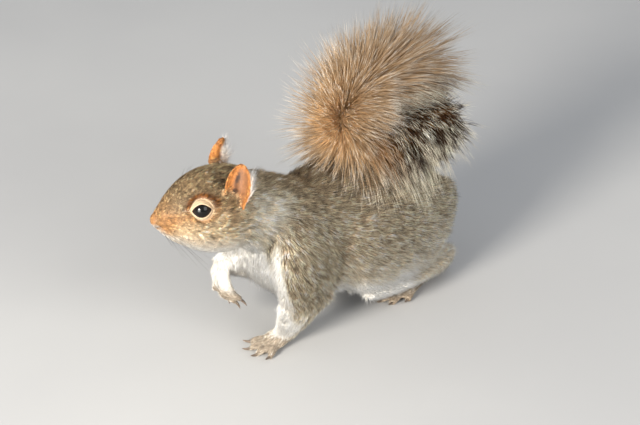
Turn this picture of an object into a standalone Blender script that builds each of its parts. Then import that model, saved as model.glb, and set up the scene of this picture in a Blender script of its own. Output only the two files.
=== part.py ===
"""Grey squirrel, life size, on three feet with its right forefoot raised and its tail folded over its back.

The solids show the animal out to the tips of its coat. The body is one smooth form, parted into head, neck,
trunk and limbs by thin cuts. Eyes, ears, claws and the lengths of the tail are made on their own and stand
close to it. The animal faces -Y, its left side is at +X and it stands on z = 0. Sizes and places below are
in millimetres.
"""

import math

import bmesh
import bpy
import numpy as np
from mathutils import Matrix, Vector

MM = 0.001
SHARP_ANGLE = 50  # degrees
GAP = 0.3  # the thin cut between two solids that meet
VOXEL = 1.0  # grain of the fused body, before it is simplified
SOFTEN_ALL, SOFTEN_BROAD = 2, 26  # smoothing passes over the whole body, and over its broad forms
SOFT_ABOVE = 11  # height of the feet, which aren't a broad form
RAISED_PAW, RAISED_PAW_REACH = (-16, -70, 34), 22  # nor is what lies within this ball
BODY_FACES = 2120  # triangles that the fused body is simplified to
FLOOR_SIZE, FLOOR_SLAB = 300, 30

X, Y, Z = Vector((1, 0, 0)), Vector((0, 1, 0)), Vector((0, 0, 1))

# ---------------------------------------------------------------------------------------- head
HEAD_TURN = math.radians(25)  # the head looks to the animal's right
NOSE = Vector((-27.7, -109.7, 0))
HEAD_BACK = Vector((math.sin(HEAD_TURN), math.cos(HEAD_TURN), 0))
HEAD_LEFT = Vector((math.cos(HEAD_TURN), -math.sin(HEAD_TURN), 0))
# Distance behind the nose, height of the top, height of the underside, half width.
HEAD_FULLNESS = 2.2  # 2 gives a slice an elliptical lower half, more gives a squarer one
HEAD_PROFILE = [
    (0, 89.5, 83.2, 3.8),
    (2.5, 92.0, 79.6, 6.3),
    (6, 97.2, 75.6, 9.2),
    (11, 103.4, 71.4, 12.2),
    (17, 109.0, 67.4, 15.2),
    (23, 112.6, 63.8, 18.0),
    (30, 114.6, 61.0, 20.6),
    (38, 115.0, 60.0, 22.0),
    (46, 113.8, 61.0, 21.8),
    (54, 110.6, 64.5, 20.0),
    (61, 105.4, 71.0, 16.5),
    (66, 99.0, 80.0, 10.0),
]
EYE_BACK, EYE_OUT, EYE_HEIGHT, EYE_RADIUS = 24.9, 13.5, 95.8, 5.6
EAR_OUT, EAR_FOOT_HEIGHT = 19.0, 96.0
# By side: place behind the nose, backward lean, and how far the ear opens outward and forward.
EAR_SETTING = {1: (44.0, 0.12, 0.80, 0.60), -1: (46.0, 0.02, 0.66, 0.75)}
EAR_LENGTH, EAR_HALF_WIDTH, EAR_CUP, EAR_THICKNESS = 25.5, 7.8, 4.2, 2.0

# ---------------------------------------------------------------------------------------- trunk
# Place along Y, height of the back, height of the belly, half width.
TRUNK_PROFILE = [
    (-64, 70, 45, 11),
    (-57, 80, 33, 20),
    (-45, 89, 23, 27),
    (-30, 93, 17, 31),
    (-14, 94.5, 12.5, 33),
    (6, 95.5, 10, 35.5),
    (28, 95, 9, 36.5),
    (48, 91.5, 9, 35.5),
    (62, 85, 11, 31.5),
    (73, 75, 17, 24),
    (79, 66, 28, 15),
]
TRUNK_FULLNESS = 2.5
# Centre of the neck from the head to the withers, half width, half height.
NECK = [
    (-9, -67.5, 90, 18.5, 21),
    (-4.5, -57, 83, 21, 24),
    (-1, -45, 75, 24.5, 26.5),
    (0, -30, 67, 28.5, 27),
]

# ---------------------------------------------------------------------------------------- limbs
# Centre, half width across the body, half width along it. LEFT stands and RIGHT is the raised one.
SHOULDER_LEFT = [
    (17, -43, 74, 10, 15),
    (22, -44, 61, 12.5, 20.5),
    (24, -43, 47, 13, 22),
    (24, -42.5, 35, 12, 20.5),
]
FOREARM_LEFT = [
    (24, -43, 38, 12, 19.5),
    (22.5, -45.5, 27, 10.5, 17.5),
    (20, -47.5, 19, 8.8, 13.5),
    (17.3, -49.5, 12.5, 7.2, 9.5),
    (15.8, -50.5, 8, 6, 6.5),
]
SHOULDER_RIGHT = [
    (-17, -43, 74, 10, 15),
    (-22, -44, 61, 12.5, 20.5),
    (-24, -42.5, 48, 12.5, 20.5),
    (-24.5, -39, 37, 10.5, 15.5),
    (-24, -37, 30, 8, 10),
]
FOREARM_RIGHT = [
    (-24, -37, 32, 8.5, 9),
    (-22.5, -47, 36.5, 8.2, 9),
    (-20, -58, 42.5, 6.9, 7.4),
    (-17.5, -68.5, 47.5, 5.4, 5.6),
]
ELBOW_LEFT = (26, -31, 28, 7.5, 8, 8)  # centre and half sizes
# Place along Y, centre across, centre height, half width, half height of one haunch.
HAUNCH = [
    (-17, 25, 46, 6, 14),
    (-10, 28, 46.5, 9.5, 26),
    (3, 30, 46, 12.5, 32),
    (22, 31, 45, 13.8, 34.5),
    (42, 30, 44, 14.2, 35),
    (57, 27.5, 42, 13.5, 33),
    (68.5, 23.5, 38.5, 11, 28),
    (75, 19.5, 35, 8, 19),
]
SHANK = [
    (27, 12, 21, 9, 12),
    (26, 36, 18, 10.5, 11.5),
    (24, 57, 16, 11.5, 11),
    (21.5, 71.5, 14.5, 9.5, 10),
]

# ---------------------------------------------------------------------------------------- feet
# Centre, half width, half height, from wrist or heel to the roots of the toes.
FOREFOOT_LEFT = [
    (15.6, -49.5, 8.5, 5.8, 5.6),
    (14.8, -53.5, 6.0, 6.8, 4.8),
    (13.7, -57.5, 4.2, 7.6, 4.2),
    (12.9, -61.5, 3.0, 7.8, 3.4),
]
FOREFOOT_RIGHT = [
    (-17.3, -67.8, 47, 5.2, 5.2),
    (-16.6, -69.8, 42, 6.1, 4.8),
    (-16, -69.6, 36, 6.9, 4.3),
    (-15.5, -68, 30.5, 6.8, 3.7),
]
HINDFOOT = [
    (17.5, 77, 6.5, 4.5, 5),
    (18, 71, 6, 6.2, 6.3),
    (19.3, 60, 5.4, 7.0, 6.0),
    (20.6, 48, 4.3, 7.8, 5.0),
    (21.4, 38, 3.2, 8.6, 3.9),
]
TOE_RADIUS = 2.55
TOE_TAPER = (1.0, 0.92, 0.98, 0.88)
TOE_ARCH, TOE_DROP, RAISED_CURL = 0.7, 1.2, 1.6
# Each toe: root across the foot, set-back of the root, length, splay in degrees, inner toe first.
FORE_TOES = [(-5.6, 2.0, 7.8, -30), (-2.0, 0, 9.2, -10), (2.0, 0, 9.2, 10), (5.6, 2.0, 7.8, 30)]
HIND_TOES = [
    (-6.6, 7, 11.0, -17),
    (-4.2, 0.5, 15.0, -8),
    (-0.1, -0.5, 16.0, 0),
    (4.0, 0.5, 15.0, 8),
    (6.9, 5.5, 12.0, 18),
]
CLAW_LENGTH, CLAW_RADIUS, CLAW_CURL = 4.6, 0.95, 1.3
TOE_FLAT = 0.8  # from the middle of a toe's last ring to the flat on which its claw stands
TOE_BLOCK = (3.0, 3.6, 4.4)
RAISED_FOOT = "forefoot_right"

# ---------------------------------------------------------------------------------------- tail
# The tail rises from the rump, lies forward over the back, turns up and lies back on itself. Each rib runs
# from the outer side of this fold to its inner side, in the animal's middle plane: outer y, z, inner y, z,
# half width, and how far its two edges hang down.
TAIL_RIBS = [
    (70, 77, 82, 55, 12, 0),
    (76, 87, 96, 70, 27, 6),
    (74, 93, 101, 97, 36, 14),
    (63, 95, 82, 118, 39, 22),
    (47, 97, 56, 121, 40, 29),
    (29, 98.5, 37, 121.5, 40, 34),
    (10, 99.5, 29, 122, 39, 36),
    (-9, 103, 27.5, 123, 37.5, 32),
    (-20, 120, 27, 124.5, 36.5, 18),
    (-17, 143, 28, 125.5, 37.5, 10),
    (-3, 160, 31, 126, 39, 10),
    (16, 168, 36, 126, 41, 12),
    (38, 168, 45, 125.5, 40.5, 14),
    (60, 164, 60, 124.5, 37, 13),
    (80, 156, 76, 123, 31, 9),
    (97, 146, 90, 120.5, 22, 5),
    (109, 135, 103, 118, 11, 1),
]
TAIL_CUTS = [0, 2, 4, 6, 8, 10.5, 13, 16]  # ribs at which the tail is parted
TAIL_LENGTHS_ON_BACK = 4  # these are fitted to the rump and the back
TAIL_TIP_ROUNDING = 6.0
TAIL_GAP = 0.35
TAIL_SEGMENTS = 20

# ---------------------------------------------------------------------------------------- parting
BALL_SEGMENTS, BALL_RINGS = 12, 8
SEAM_MARGIN = 1.6  # how far outside a limb's own form it is parted from the trunk
FOREPAW_BOX = (-5, -100, -1), (32, -44, 8.5)
RAISED_PAW_BALL = (-16, -68, 30), (13, 12.5, 18)
FOREARM_BOX = (9.5, -80, -1), (45, -23.5, 30)
SHOULDER_BALL = (24, -43, 53), (15, 25.5, 33)
# Beside the midline: least y and z, greatest y and z, and x of the inner wall at its foot and its top.
HINDPAW_WEDGE = (-8, -1), (96, 8), (6, 6)
SHANK_WEDGE = (-2, 7.9), (96, 17.5), (15, 15)
THIGH_WEDGE = (-20, 9), (96, 92), (12, 21)
WEDGE_REACH = 70
NOSE_PAD_PLACE, NOSE_PAD_SIZES = (0.6, 0, 87.0), (3.6, 3.4, 3.0)
# Name of what lies before each cut through neck and trunk, a point of the cut and its lean.
TRUNK_CUTS = [
    ("head", (-8, -66, 88), (-0.42, -0.88, 0.22)),
    ("neck", (-3, -52, 80), (-0.12, -0.78, 0.61)),
    ("chest", (0, -12, 50), (0, -1, 0)),
    ("loin", (0, 36, 50), (0, -1, 0)),
]

# ---------------------------------------------------------------------------------------- finish
# Name of each material, its colour and its roughness.
COAT_GREY = ("coat_grey", (0.28, 0.25, 0.20), 0.9)
COAT_FACE = ("coat_face", (0.42, 0.29, 0.17), 0.9)
COAT_WHITE = ("coat_white", (0.78, 0.74, 0.66), 0.9)
TAIL_BROWN = ("coat_tail", (0.36, 0.23, 0.12), 0.9)
EAR_ORANGE = ("ear_skin", (0.50, 0.26, 0.12), 0.75)
NOSE_BROWN = ("nose_skin", (0.42, 0.24, 0.15), 0.6)
CLAW_BROWN = ("claw_horn", (0.10, 0.07, 0.05), 0.4)
EYE_BLACK = ("eye_gloss", (0.010, 0.008, 0.006), 0.06)
# The start of a node's name, and its material when it isn't the grey of the back.
FINISHES = {
    "head": COAT_FACE,
    "nose": NOSE_BROWN,
    "forepaw": COAT_WHITE,
    "hindpaw": COAT_WHITE,
    "forearm_right": COAT_WHITE,
}


def clear_scene():
    for obj in list(bpy.data.objects):
        bpy.data.objects.remove(obj)


def collection(name):
    made = bpy.data.collections.new(name)
    bpy.context.scene.collection.children.link(made)
    return made


def material(name, colour, roughness):
    made = bpy.data.materials.get(name) or bpy.data.materials.new(name)
    made.use_nodes = True
    shader = made.node_tree.nodes["Principled BSDF"]
    shader.inputs["Base Color"].default_value = (*colour, 1)
    shader.inputs["Roughness"].default_value = roughness
    shader.inputs["Metallic"].default_value = 0
    return made


def helper(name, mesh):
    """An object that shapes others and isn't part of the animal."""
    obj = bpy.data.objects.new(name, mesh)
    helpers.objects.link(obj)
    obj.hide_render = True
    obj.display_type = "WIRE"
    return obj


def evaluated_mesh(obj):
    """The object's mesh with its modifiers applied, in world space."""
    bpy.context.view_layer.update()
    graph = bpy.context.evaluated_depsgraph_get()
    mesh = bpy.data.meshes.new_from_object(obj.evaluated_get(graph))
    mesh.transform(obj.matrix_world)
    return mesh


# ---------------------------------------------------------------------------------------- lofts
def smooth_table(table, steps):
    """Rows between the rows of a table, along a Catmull-Rom curve through them."""
    rows = np.array(table, float)
    padded = np.vstack([2 * rows[0] - rows[1], rows, 2 * rows[-1] - rows[-2]])
    found = []
    for a, b, c, d in zip(padded, padded[1:], padded[2:], padded[3:]):
        for t in np.linspace(0, 1, steps, endpoint=False):
            found.append(
                b + 0.5 * t * (c - a) + t**2 * (a - 2.5 * b + 2 * c - 0.5 * d)
                + t**3 * (1.5 * (b - c) + 0.5 * (d - a))
            )
    return np.vstack([found, rows[-1]])


def ellipse_ring(centre, across, up, half_across, half_up, segments, fullness=2.0):
    """A ring of points round a centre: an ellipse, with a squarer lower half for a fullness above 2."""
    ring = []
    for i in range(segments):
        angle = 2 * math.pi * i / segments
        c, s = math.cos(angle), math.sin(angle)
        power = 2 if s >= 0 else fullness
        reach = (abs(c) ** power + abs(s) ** power) ** (-1 / power)
        ring.append(Vector(centre) + across * (half_across * reach * c) + up * (half_up * reach * s))
    return ring


def ladder_cap(bm, row):
    """Closes a ring by rungs between its upper and its lower half."""
    count = len(row)
    if count == 4:
        bm.faces.new(row)
        return
    half = count // 2
    bm.faces.new((row[0], row[1], row[-1]))
    for i in range(1, half - 1):
        bm.faces.new((row[i], row[i + 1], row[count - i - 1], row[count - i]))
    bm.faces.new((row[half - 1], row[half], row[half + 1]))


def loft_mesh(name, rings, poles=(None, None)):
    """A closed skin over a row of rings with equally many points, ended by a point or by a rung-wise cap."""
    bm = bmesh.new()
    rows = [[bm.verts.new(point * MM) for point in ring] for ring in rings]
    count = len(rows[0])
    for row, after in zip(rows, rows[1:]):
        for i in range(count):
            j = (i + 1) % count
            bm.faces.new((row[i], row[j], after[j], after[i]))
    for row, pole in zip((rows[0], rows[-1]), poles):
        if pole is None:
            ladder_cap(bm, row)
            continue
        tip = bm.verts.new(pole * MM)
        for i in range(count):
            bm.faces.new((row[i], row[(i + 1) % count], tip))
    bmesh.ops.recalc_face_normals(bm, faces=bm.faces)
    mesh = bpy.data.meshes.new(name)
    bm.to_mesh(mesh)
    bm.free()
    return mesh


def rounded_tube(name, stations, side=X, segments=16, steps=3, grow=0.0, domes=(25, 50, 72)):
    """A limb-like form: elliptical rings square to a smooth path, with domed ends. grow makes it fatter."""
    rows = smooth_table(stations, steps)
    centres = [Vector(row[:3]) for row in rows]
    rings = []
    for i, (centre, row) in enumerate(zip(centres, rows)):
        along = (centres[min(i + 1, len(rows) - 1)] - centres[max(i - 1, 0)]).normalized()
        across = (side - side.dot(along) * along).normalized()
        rings.append((centre, along, across, across.cross(along), row[3] + grow, row[4] + grow))
    dome = [math.radians(angle) for angle in domes]
    frames = []
    for end, sign in ((rings[0], -1), (rings[-1], 1)):
        centre, along, across, up, wide, tall = end
        depth = min(wide, tall)
        frames.append(
            [
                (centre + along * (sign * depth * math.sin(a)), along, across, up,
                 wide * math.cos(a), tall * math.cos(a))
                for a in dome
            ]
        )
    every = frames[0][::-1] + rings + frames[1]
    loops = [ellipse_ring(c, across, up, wide, tall, segments) for c, _, across, up, wide, tall in every]
    tips = [
        end[0] + end[1] * (sign * min(end[4], end[5])) for end, sign in ((rings[0], -1), (rings[-1], 1))
    ]
    return helper(name, loft_mesh(name, loops, tips))


def profile_form(name, origin, back, left, profile, segments=28, steps=3, fullness=2.0):
    """A form given by its side outline and its half widths, in upright slices along back."""
    rings, middles = [], []
    for place, top, low, half in smooth_table(profile, steps):
        middles.append(Vector(origin) + back * place + Z * ((top + low) / 2))
        rings.append(ellipse_ring(middles[-1], left, Z, half, (top - low) / 2, segments, fullness))
    first, last = profile[0], profile[-1]
    tips = (middles[0] - back * (0.45 * first[3]), middles[-1] + back * (0.45 * last[3]))
    return helper(name, loft_mesh(name, rings, tips))


def ellipsoid(name, centre, sizes, segments=20, rings=12):
    bm = bmesh.new()
    bmesh.ops.create_uvsphere(bm, u_segments=segments, v_segments=rings, radius=1)
    bmesh.ops.scale(bm, vec=Vector(sizes) * MM, verts=bm.verts)
    bmesh.ops.translate(bm, vec=Vector(centre) * MM, verts=bm.verts)
    mesh = bpy.data.meshes.new(name)
    bm.to_mesh(mesh)
    bm.free()
    return helper(name, mesh)


# ---------------------------------------------------------------------------------------- solids
def joined(name, pieces):
    bm = bmesh.new()
    for piece in pieces:
        bm.from_mesh(piece.data)
    mesh = bpy.data.meshes.new(name)
    bm.to_mesh(mesh)
    bm.free()
    return helper(name, mesh)


def is_broad(point):
    """Whether a point lies on the head, trunk or upper limbs, and not on a foot or the raised forearm."""
    return point.z > SOFT_ABOVE * MM and (Vector(RAISED_PAW) * MM - point).length > RAISED_PAW_REACH * MM


def fused(name, pieces):
    """One closed form from overlapping ones, with its hollows softened where it is broad."""
    whole = joined(name, pieces)
    remesh = whole.modifiers.new("fuse", "REMESH")
    remesh.mode, remesh.voxel_size = "VOXEL", VOXEL * MM
    grown = helper(name + "_grown", evaluated_mesh(whole))
    broad = grown.vertex_groups.new(name="broad")
    broad.add([v.index for v in grown.data.vertices if is_broad(v.co)], 1, "REPLACE")
    rounds = (("all", SOFTEN_ALL, ""), ("broad", SOFTEN_BROAD, "broad"), ("rim", SOFTEN_ALL, ""))
    for title, passes, group in rounds:
        smooth = grown.modifiers.new(title, "SMOOTH")
        smooth.factor, smooth.iterations, smooth.vertex_group = 0.5, passes, group
    simplify = grown.modifiers.new("simplify", "DECIMATE")
    simplify.ratio = BODY_FACES / (2 * len(grown.data.polygons))
    return helper(name + "_plain", evaluated_mesh(grown))


def largest_part(mesh):
    """Drops all but the largest connected piece of a mesh."""
    bm = bmesh.new()
    bm.from_mesh(mesh)
    left, groups = set(bm.verts), []
    while left:
        stack, group = [left.pop()], []
        while stack:
            vert = stack.pop()
            group.append(vert)
            for edge in vert.link_edges:
                other = edge.other_vert(vert)
                if other in left:
                    left.remove(other)
                    stack.append(other)
        groups.append(group)
    groups.sort(key=len)
    for group in groups[:-1]:
        bmesh.ops.delete(bm, geom=group, context="VERTS")
    bm.to_mesh(mesh)
    bm.free()
    return mesh


def combined(name, base, cutter, operation):
    """The base with the cutter taken away, or what the two share."""
    work = helper(name, base.data.copy())
    cut = work.modifiers.new("cut", "BOOLEAN")
    cut.operation, cut.object = operation, cutter
    mesh = largest_part(evaluated_mesh(work))
    bpy.data.objects.remove(work)
    return helper(name, mesh)


def inflated(obj, by):
    """A copy grown along its normals, as a cutter that leaves a gap."""
    grown = helper(obj.name + "_grown", obj.data.copy())
    push = grown.modifiers.new("grow", "DISPLACE")
    push.mid_level, push.strength = 0, by * MM
    return helper(obj.name + "_cutter", evaluated_mesh(grown))


def parted(body, name, make_region):
    """Takes what lies in a region off the body: the piece and the rest, a thin cut apart.

    make_region(grow) gives the region, wider by grow."""
    piece = combined(name, body, make_region(0), "INTERSECT")
    rest = combined("rest", body, make_region(GAP), "DIFFERENCE")
    return piece, rest


def halved(body, name, point, normal):
    """Parts the body at a plane: (what lies on the normal's side, the rest), a thin cut apart."""
    made = []
    for sign in (1, -1):
        bm = bmesh.new()
        bm.from_mesh(body.data)
        away = normal.normalized() * sign
        bmesh.ops.bisect_plane(
            bm, geom=bm.verts[:] + bm.edges[:] + bm.faces[:],
            plane_co=(point + away * (GAP / 2)) * MM, plane_no=away, clear_inner=True,
        )
        rim = [edge for edge in bm.edges if edge.is_boundary]
        bmesh.ops.triangle_fill(bm, edges=rim, use_beauty=True, normal=-away)
        bmesh.ops.recalc_face_normals(bm, faces=bm.faces)
        mesh = bpy.data.meshes.new(name)
        bm.to_mesh(mesh)
        bm.free()
        made.append(helper(name, largest_part(mesh)))
    return made


def box(name, low, high):
    """An upright box between two corners."""
    low, high = Vector(low), Vector(high)
    bm = bmesh.new()
    bmesh.ops.create_cube(bm, size=1)
    bmesh.ops.scale(bm, vec=(high - low) * MM, verts=bm.verts)
    bmesh.ops.translate(bm, vec=(high + low) / 2 * MM, verts=bm.verts)
    mesh = bpy.data.meshes.new(name)
    bm.to_mesh(mesh)
    bm.free()
    return helper(name, mesh)


def on_floor(body):
    """Cuts the soles flat at z = 0."""
    slab = box("floor_slab", (-FLOOR_SIZE, -FLOOR_SIZE, -FLOOR_SLAB), (FLOOR_SIZE, FLOOR_SIZE, 0))
    return combined("standing", body, slab, "DIFFERENCE")


def node(name, form, finish):
    """Makes a form a named part of the animal, its origin in its own middle."""
    mesh = form.data.copy()
    mesh.name = name
    middle = sum(bounds([form]), Vector()) / 2
    mesh.transform(Matrix.Translation(-middle))
    obj = bpy.data.objects.new(name, mesh)
    obj.location = middle
    animal.objects.link(obj)
    mesh.materials.clear()
    mesh.materials.append(material(*finish))
    mesh.shade_smooth()
    mesh.set_sharp_from_angle(angle=math.radians(SHARP_ANGLE))
    return obj


def bounds(objects):
    """The least and the greatest corner of objects that are neither turned nor scaled."""
    corners = np.array([obj.location + vert.co for obj in objects for vert in obj.data.vertices])
    return Vector(corners.min(0)), Vector(corners.max(0))


def centre_on_floor(objects):
    """Moves the whole animal so that the middle of its lowest level is the origin."""
    low, high = bounds(objects)
    for obj in objects:
        obj.location -= Vector(((low.x + high.x) / 2, (low.y + high.y) / 2, low.z))


# ---------------------------------------------------------------------------------------- parts of the body
def finish_of(name):
    for start, finish in FINISHES.items():
        if name.startswith(start):
            return finish
    return COAT_GREY


def mirrored(stations, side):
    return [(side * row[0], *row[1:]) for row in stations]


def head_point(back, out, height):
    return NOSE + HEAD_BACK * back + HEAD_LEFT * out + Z * height


def toe_rows(foot, toes, side, raised):
    """Root, direction and length of every toe: a foot's stations end where its middle toes begin."""
    end, before = Vector(foot[-1][:3]), Vector(foot[-2][:3])
    forward = end - before
    forward.z *= 1 if raised else 0
    forward.normalize()
    across = X * side - forward * forward.dot(X * side)
    across.normalize()
    for root_out, setback, length, splay in toes:
        turn = math.radians(splay)
        way = forward * math.cos(turn) + across * math.sin(turn)
        root = end + across * root_out - forward * setback
        yield root, way, length


def toe_path(root, way, length, raised):
    """A toe's middle line: arched from its root, then down to its pad."""
    down, curl = (Y, RAISED_CURL) if raised else (-Z, TOE_DROP)
    return [
        root - way * 3,
        root + way * (0.35 * length) - down * TOE_ARCH,
        root + way * (0.72 * length) + down * (0.3 * curl),
        root + way * length + down * curl,
    ]


def toe_forms(name, foot, toes, side):
    """The toes of one foot, and the line of each at its end, where its claw grows."""
    raised = name == RAISED_FOOT
    forms, ends = [], []
    for number, (root, way, length) in enumerate(toe_rows(foot, toes, side, raised), 1):
        path = toe_path(root, way, length, raised)
        widths = [TOE_RADIUS * share for share in TOE_TAPER]
        rows = [(*point, wide, wide) for point, wide in zip(path, widths)]
        forms.append(rounded_tube(f"{name}_toe_{number}", rows, segments=12))
        ends.append((path[-1], (path[-1] - path[-2]).normalized() if raised else way))
    return forms, ends


def claw_frame(way, raised):
    """Across and down for a claw that grows along way and curls toward the sole of its foot."""
    down = Y if raised else -Z
    across = way.cross(down).normalized()
    return across, across.cross(way).normalized() * -1


def claw_form(name, tip, way, raised):
    """A claw: a thin cone that curls down from the flat at the end of its toe."""
    across, down = claw_frame(way, raised)
    foot = tip + way * (TOE_FLAT + GAP)
    rings, steps = [], 3
    for i in range(steps):
        t = i / steps
        middle = foot + way * (CLAW_LENGTH * t) + down * (CLAW_CURL * t * t)
        size = CLAW_RADIUS * (1 - 0.65 * t)
        rings.append(ellipse_ring(middle, across, down, size * 0.8, size, 6))
    point = foot + way * CLAW_LENGTH + down * CLAW_CURL
    return helper(name, loft_mesh(name, rings, (None, point)))


def toe_end_cutters(claws):
    """Small blocks that cut the ends of the toes flat where the claws stand."""
    blocks = []
    for name, ends in claws.items():
        for tip, way in ends:
            across, down = claw_frame(way, name == RAISED_FOOT)
            middle = tip + way * (TOE_FLAT + TOE_BLOCK[0] / 2)
            turn = Matrix((way, across, down)).transposed().to_4x4()
            block = box("toe_block", [-size / 2 for size in TOE_BLOCK], [size / 2 for size in TOE_BLOCK])
            block.data.transform(Matrix.Translation(middle * MM) @ turn)
            blocks.append(block)
    return joined("toe_blocks", blocks)


def ear_form(name, side):
    """The pinna: a cupped leaf on the side of the head that opens outward and forward."""
    place, lean, outward, forward = EAR_SETTING[side]
    up = (Z * 0.98 - HEAD_LEFT * (side * 0.05) + HEAD_BACK * lean).normalized()
    opening = HEAD_LEFT * (side * outward) - HEAD_BACK * forward
    opening = (opening - up * opening.dot(up)).normalized()
    across = up.cross(opening).normalized()
    foot = head_point(place, side * EAR_OUT, EAR_FOOT_HEIGHT)
    columns, rows = 4, 6
    bm = bmesh.new()
    grid = []
    for r in range(rows + 1):
        v = r / rows
        taper = max(0.0, 1 - max(0.0, (v - 0.35) / 0.65) ** 2.6) ** 0.55
        half = EAR_HALF_WIDTH * (0.68 + 0.32 * min(v / 0.4, 1)) * max(taper, 0.1)
        line = []
        for c in range(columns + 1):
            u = 2 * c / columns - 1
            cup = EAR_CUP * (1.15 - 0.5 * v) * u * u * max(taper, 0.3)
            point = foot + up * (EAR_LENGTH * v) + across * (half * u) + opening * (cup - 1.5 * v * v)
            line.append(bm.verts.new(point * MM))
        grid.append(line)
    for low, high in zip(grid, grid[1:]):
        for i in range(columns):
            bm.faces.new((low[i], low[i + 1], high[i + 1], high[i]))
    mesh = bpy.data.meshes.new(name)
    bm.to_mesh(mesh)
    bm.free()
    leaf = helper(name + "_leaf", mesh)
    shell = leaf.modifiers.new("thickness", "SOLIDIFY")
    shell.thickness, shell.offset = EAR_THICKNESS * MM, 0
    return helper(name, evaluated_mesh(leaf))


def tail_ring(row, segments=TAIL_SEGMENTS):
    outer, inner = Vector((0, row[0], row[1])), Vector((0, row[2], row[3]))
    middle, reach = (outer + inner) / 2, (outer - inner) / 2
    ring = ellipse_ring(middle, X, reach.normalized(), row[4], reach.length, segments)
    return [point - Z * (row[5] * (point.x / row[4]) ** 2) for point in ring]


def tail_lengths(steps=2):
    """The tail in lengths, each an own loft between two cuts."""
    rows = smooth_table(TAIL_RIBS, steps)
    half = TAIL_SEGMENTS // 2
    for number, (start, stop) in enumerate(zip(TAIL_CUTS, TAIL_CUTS[1:]), 1):
        rings = [tail_ring(row) for row in rows[round(start * steps) : round(stop * steps) + 1]]
        last = number == len(TAIL_CUTS) - 1
        for ring, other, needed in ((rings[0], rings[1], number > 1), (rings[-1], rings[-2], not last)):
            if needed:
                inward = ring_normal(ring)
                inward *= 1 if inward.dot(other[0] + other[half] - ring[0] - ring[half]) > 0 else -1
                ring[:] = [point + inward * (TAIL_GAP / 2) for point in ring]
        pole = None
        if last:
            middle = sum(rings[-1], Vector()) / len(rings[-1])
            pole = middle + Vector((0, TAIL_TIP_ROUNDING, -1.5))
        yield helper(f"tail_{number}_form", loft_mesh(f"tail_{number}_form", rings, (None, pole)))


def ring_normal(ring):
    """Which way the tail runs through a ring."""
    quarter = TAIL_SEGMENTS // 4
    return X.cross(ring[quarter] - ring[-quarter]).normalized()


def body_forms():
    """Every overlapping form of the body, and the claws' roots by foot."""
    forms = [
        profile_form("head_form", NOSE, HEAD_BACK, HEAD_LEFT, HEAD_PROFILE, fullness=HEAD_FULLNESS),
        profile_form("trunk_form", Vector(), Y, X, TRUNK_PROFILE, segments=32, fullness=TRUNK_FULLNESS),
        rounded_tube("neck_form", NECK, segments=28),
        rounded_tube("shoulder_left_form", SHOULDER_LEFT),
        rounded_tube("shoulder_right_form", SHOULDER_RIGHT),
        rounded_tube("forearm_left_form", FOREARM_LEFT),
        rounded_tube("forearm_right_form", FOREARM_RIGHT),
        ellipsoid("elbow_left_form", ELBOW_LEFT[:3], ELBOW_LEFT[3:]),
    ]
    feet = [("forefoot_left", FOREFOOT_LEFT, FORE_TOES, -1), (RAISED_FOOT, FOREFOOT_RIGHT, FORE_TOES, 1)]
    for side, word in ((1, "left"), (-1, "right")):
        forms.append(rounded_tube(f"haunch_{word}_form", haunch_stations(side), segments=20))
        forms.append(rounded_tube(f"shank_{word}_form", mirrored(SHANK, side)))
        feet.append((f"hindfoot_{word}", mirrored(HINDFOOT, side), HIND_TOES, side))
    claws = {}
    for name, stations, toes, side in feet:
        forms.append(rounded_tube(f"{name}_form", stations))
        made, claws[name] = toe_forms(name, stations, toes, side)
        forms += made
    return forms, claws


def box_region(low, high):
    def make(grow):
        more = Vector((grow, grow, grow))
        return box("region", Vector(low) - more, Vector(high) + more)

    return make


def ball_region(centre, sizes):
    def make(grow):
        return ellipsoid("region", centre, [size + grow for size in sizes], BALL_SEGMENTS, BALL_RINGS)

    return make


def limb_region(stations, segments=8):
    """A coarse tube that stands clear of a limb all round."""
    clear = 1 / math.cos(math.pi / segments)
    wider = [(*row[:3], row[3] * clear, row[4] * clear) for row in stations]

    def make(grow):
        extra = SEAM_MARGIN + grow
        return rounded_tube("region", wider, segments=segments, steps=1, grow=extra, domes=(50,))

    return make


def wedge_region(side, wedge):
    """A block beside the midline with a leaning inner wall: low y, z, high y, z, and the wall's two x."""
    (y_low, z_low), (y_high, z_high), (x_bottom, x_top) = wedge

    def make(grow):
        rings = []
        for y in (y_low - grow, y_high + grow):
            inner_bottom = Vector((side * (x_bottom - grow), y, z_low - grow))
            inner_top = Vector((side * (x_top - grow), y, z_high + grow))
            outer = [Vector((side * WEDGE_REACH, y, z)) for z in (z_high + grow, z_low - grow)]
            rings.append([inner_bottom, inner_top, *outer])
        return helper("region", loft_mesh("region", rings))

    return make


def haunch_stations(side):
    return [(side * x, y, z, w, h) for y, x, z, w, h in HAUNCH]


def limb_regions():
    """What to take off the body, in order: a name and its region."""
    yield "forepaw_left", box_region(*FOREPAW_BOX)
    yield "forepaw_right", ball_region(*RAISED_PAW_BALL)
    yield "forearm_left", box_region(*FOREARM_BOX)
    yield "forearm_right", limb_region(FOREARM_RIGHT)
    for side, word in ((1, "left"), (-1, "right")):
        (x, y, z), sizes = SHOULDER_BALL
        yield f"upper_arm_{word}", ball_region((side * x, y, z), sizes)
        yield f"hindpaw_{word}", wedge_region(side, HINDPAW_WEDGE)
        yield f"shank_{word}", wedge_region(side, SHANK_WEDGE)
        yield f"thigh_{word}", wedge_region(side, THIGH_WEDGE)


def parted_body(body):
    """Parts the fused body into head, neck, trunk and limbs: yields the name and the form of each."""
    for name, make_region in limb_regions():
        piece, body = parted(body, f"{name}_form", make_region)
        yield name, piece
    piece, body = parted(body, "nose_form", ball_region(head_point(*NOSE_PAD_PLACE), NOSE_PAD_SIZES))
    yield "nose", piece
    for name, point, lean in TRUNK_CUTS:
        piece, body = halved(body, f"{name}_form", Vector(point), Vector(lean))
        yield name, piece
    yield "rump", body


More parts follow.
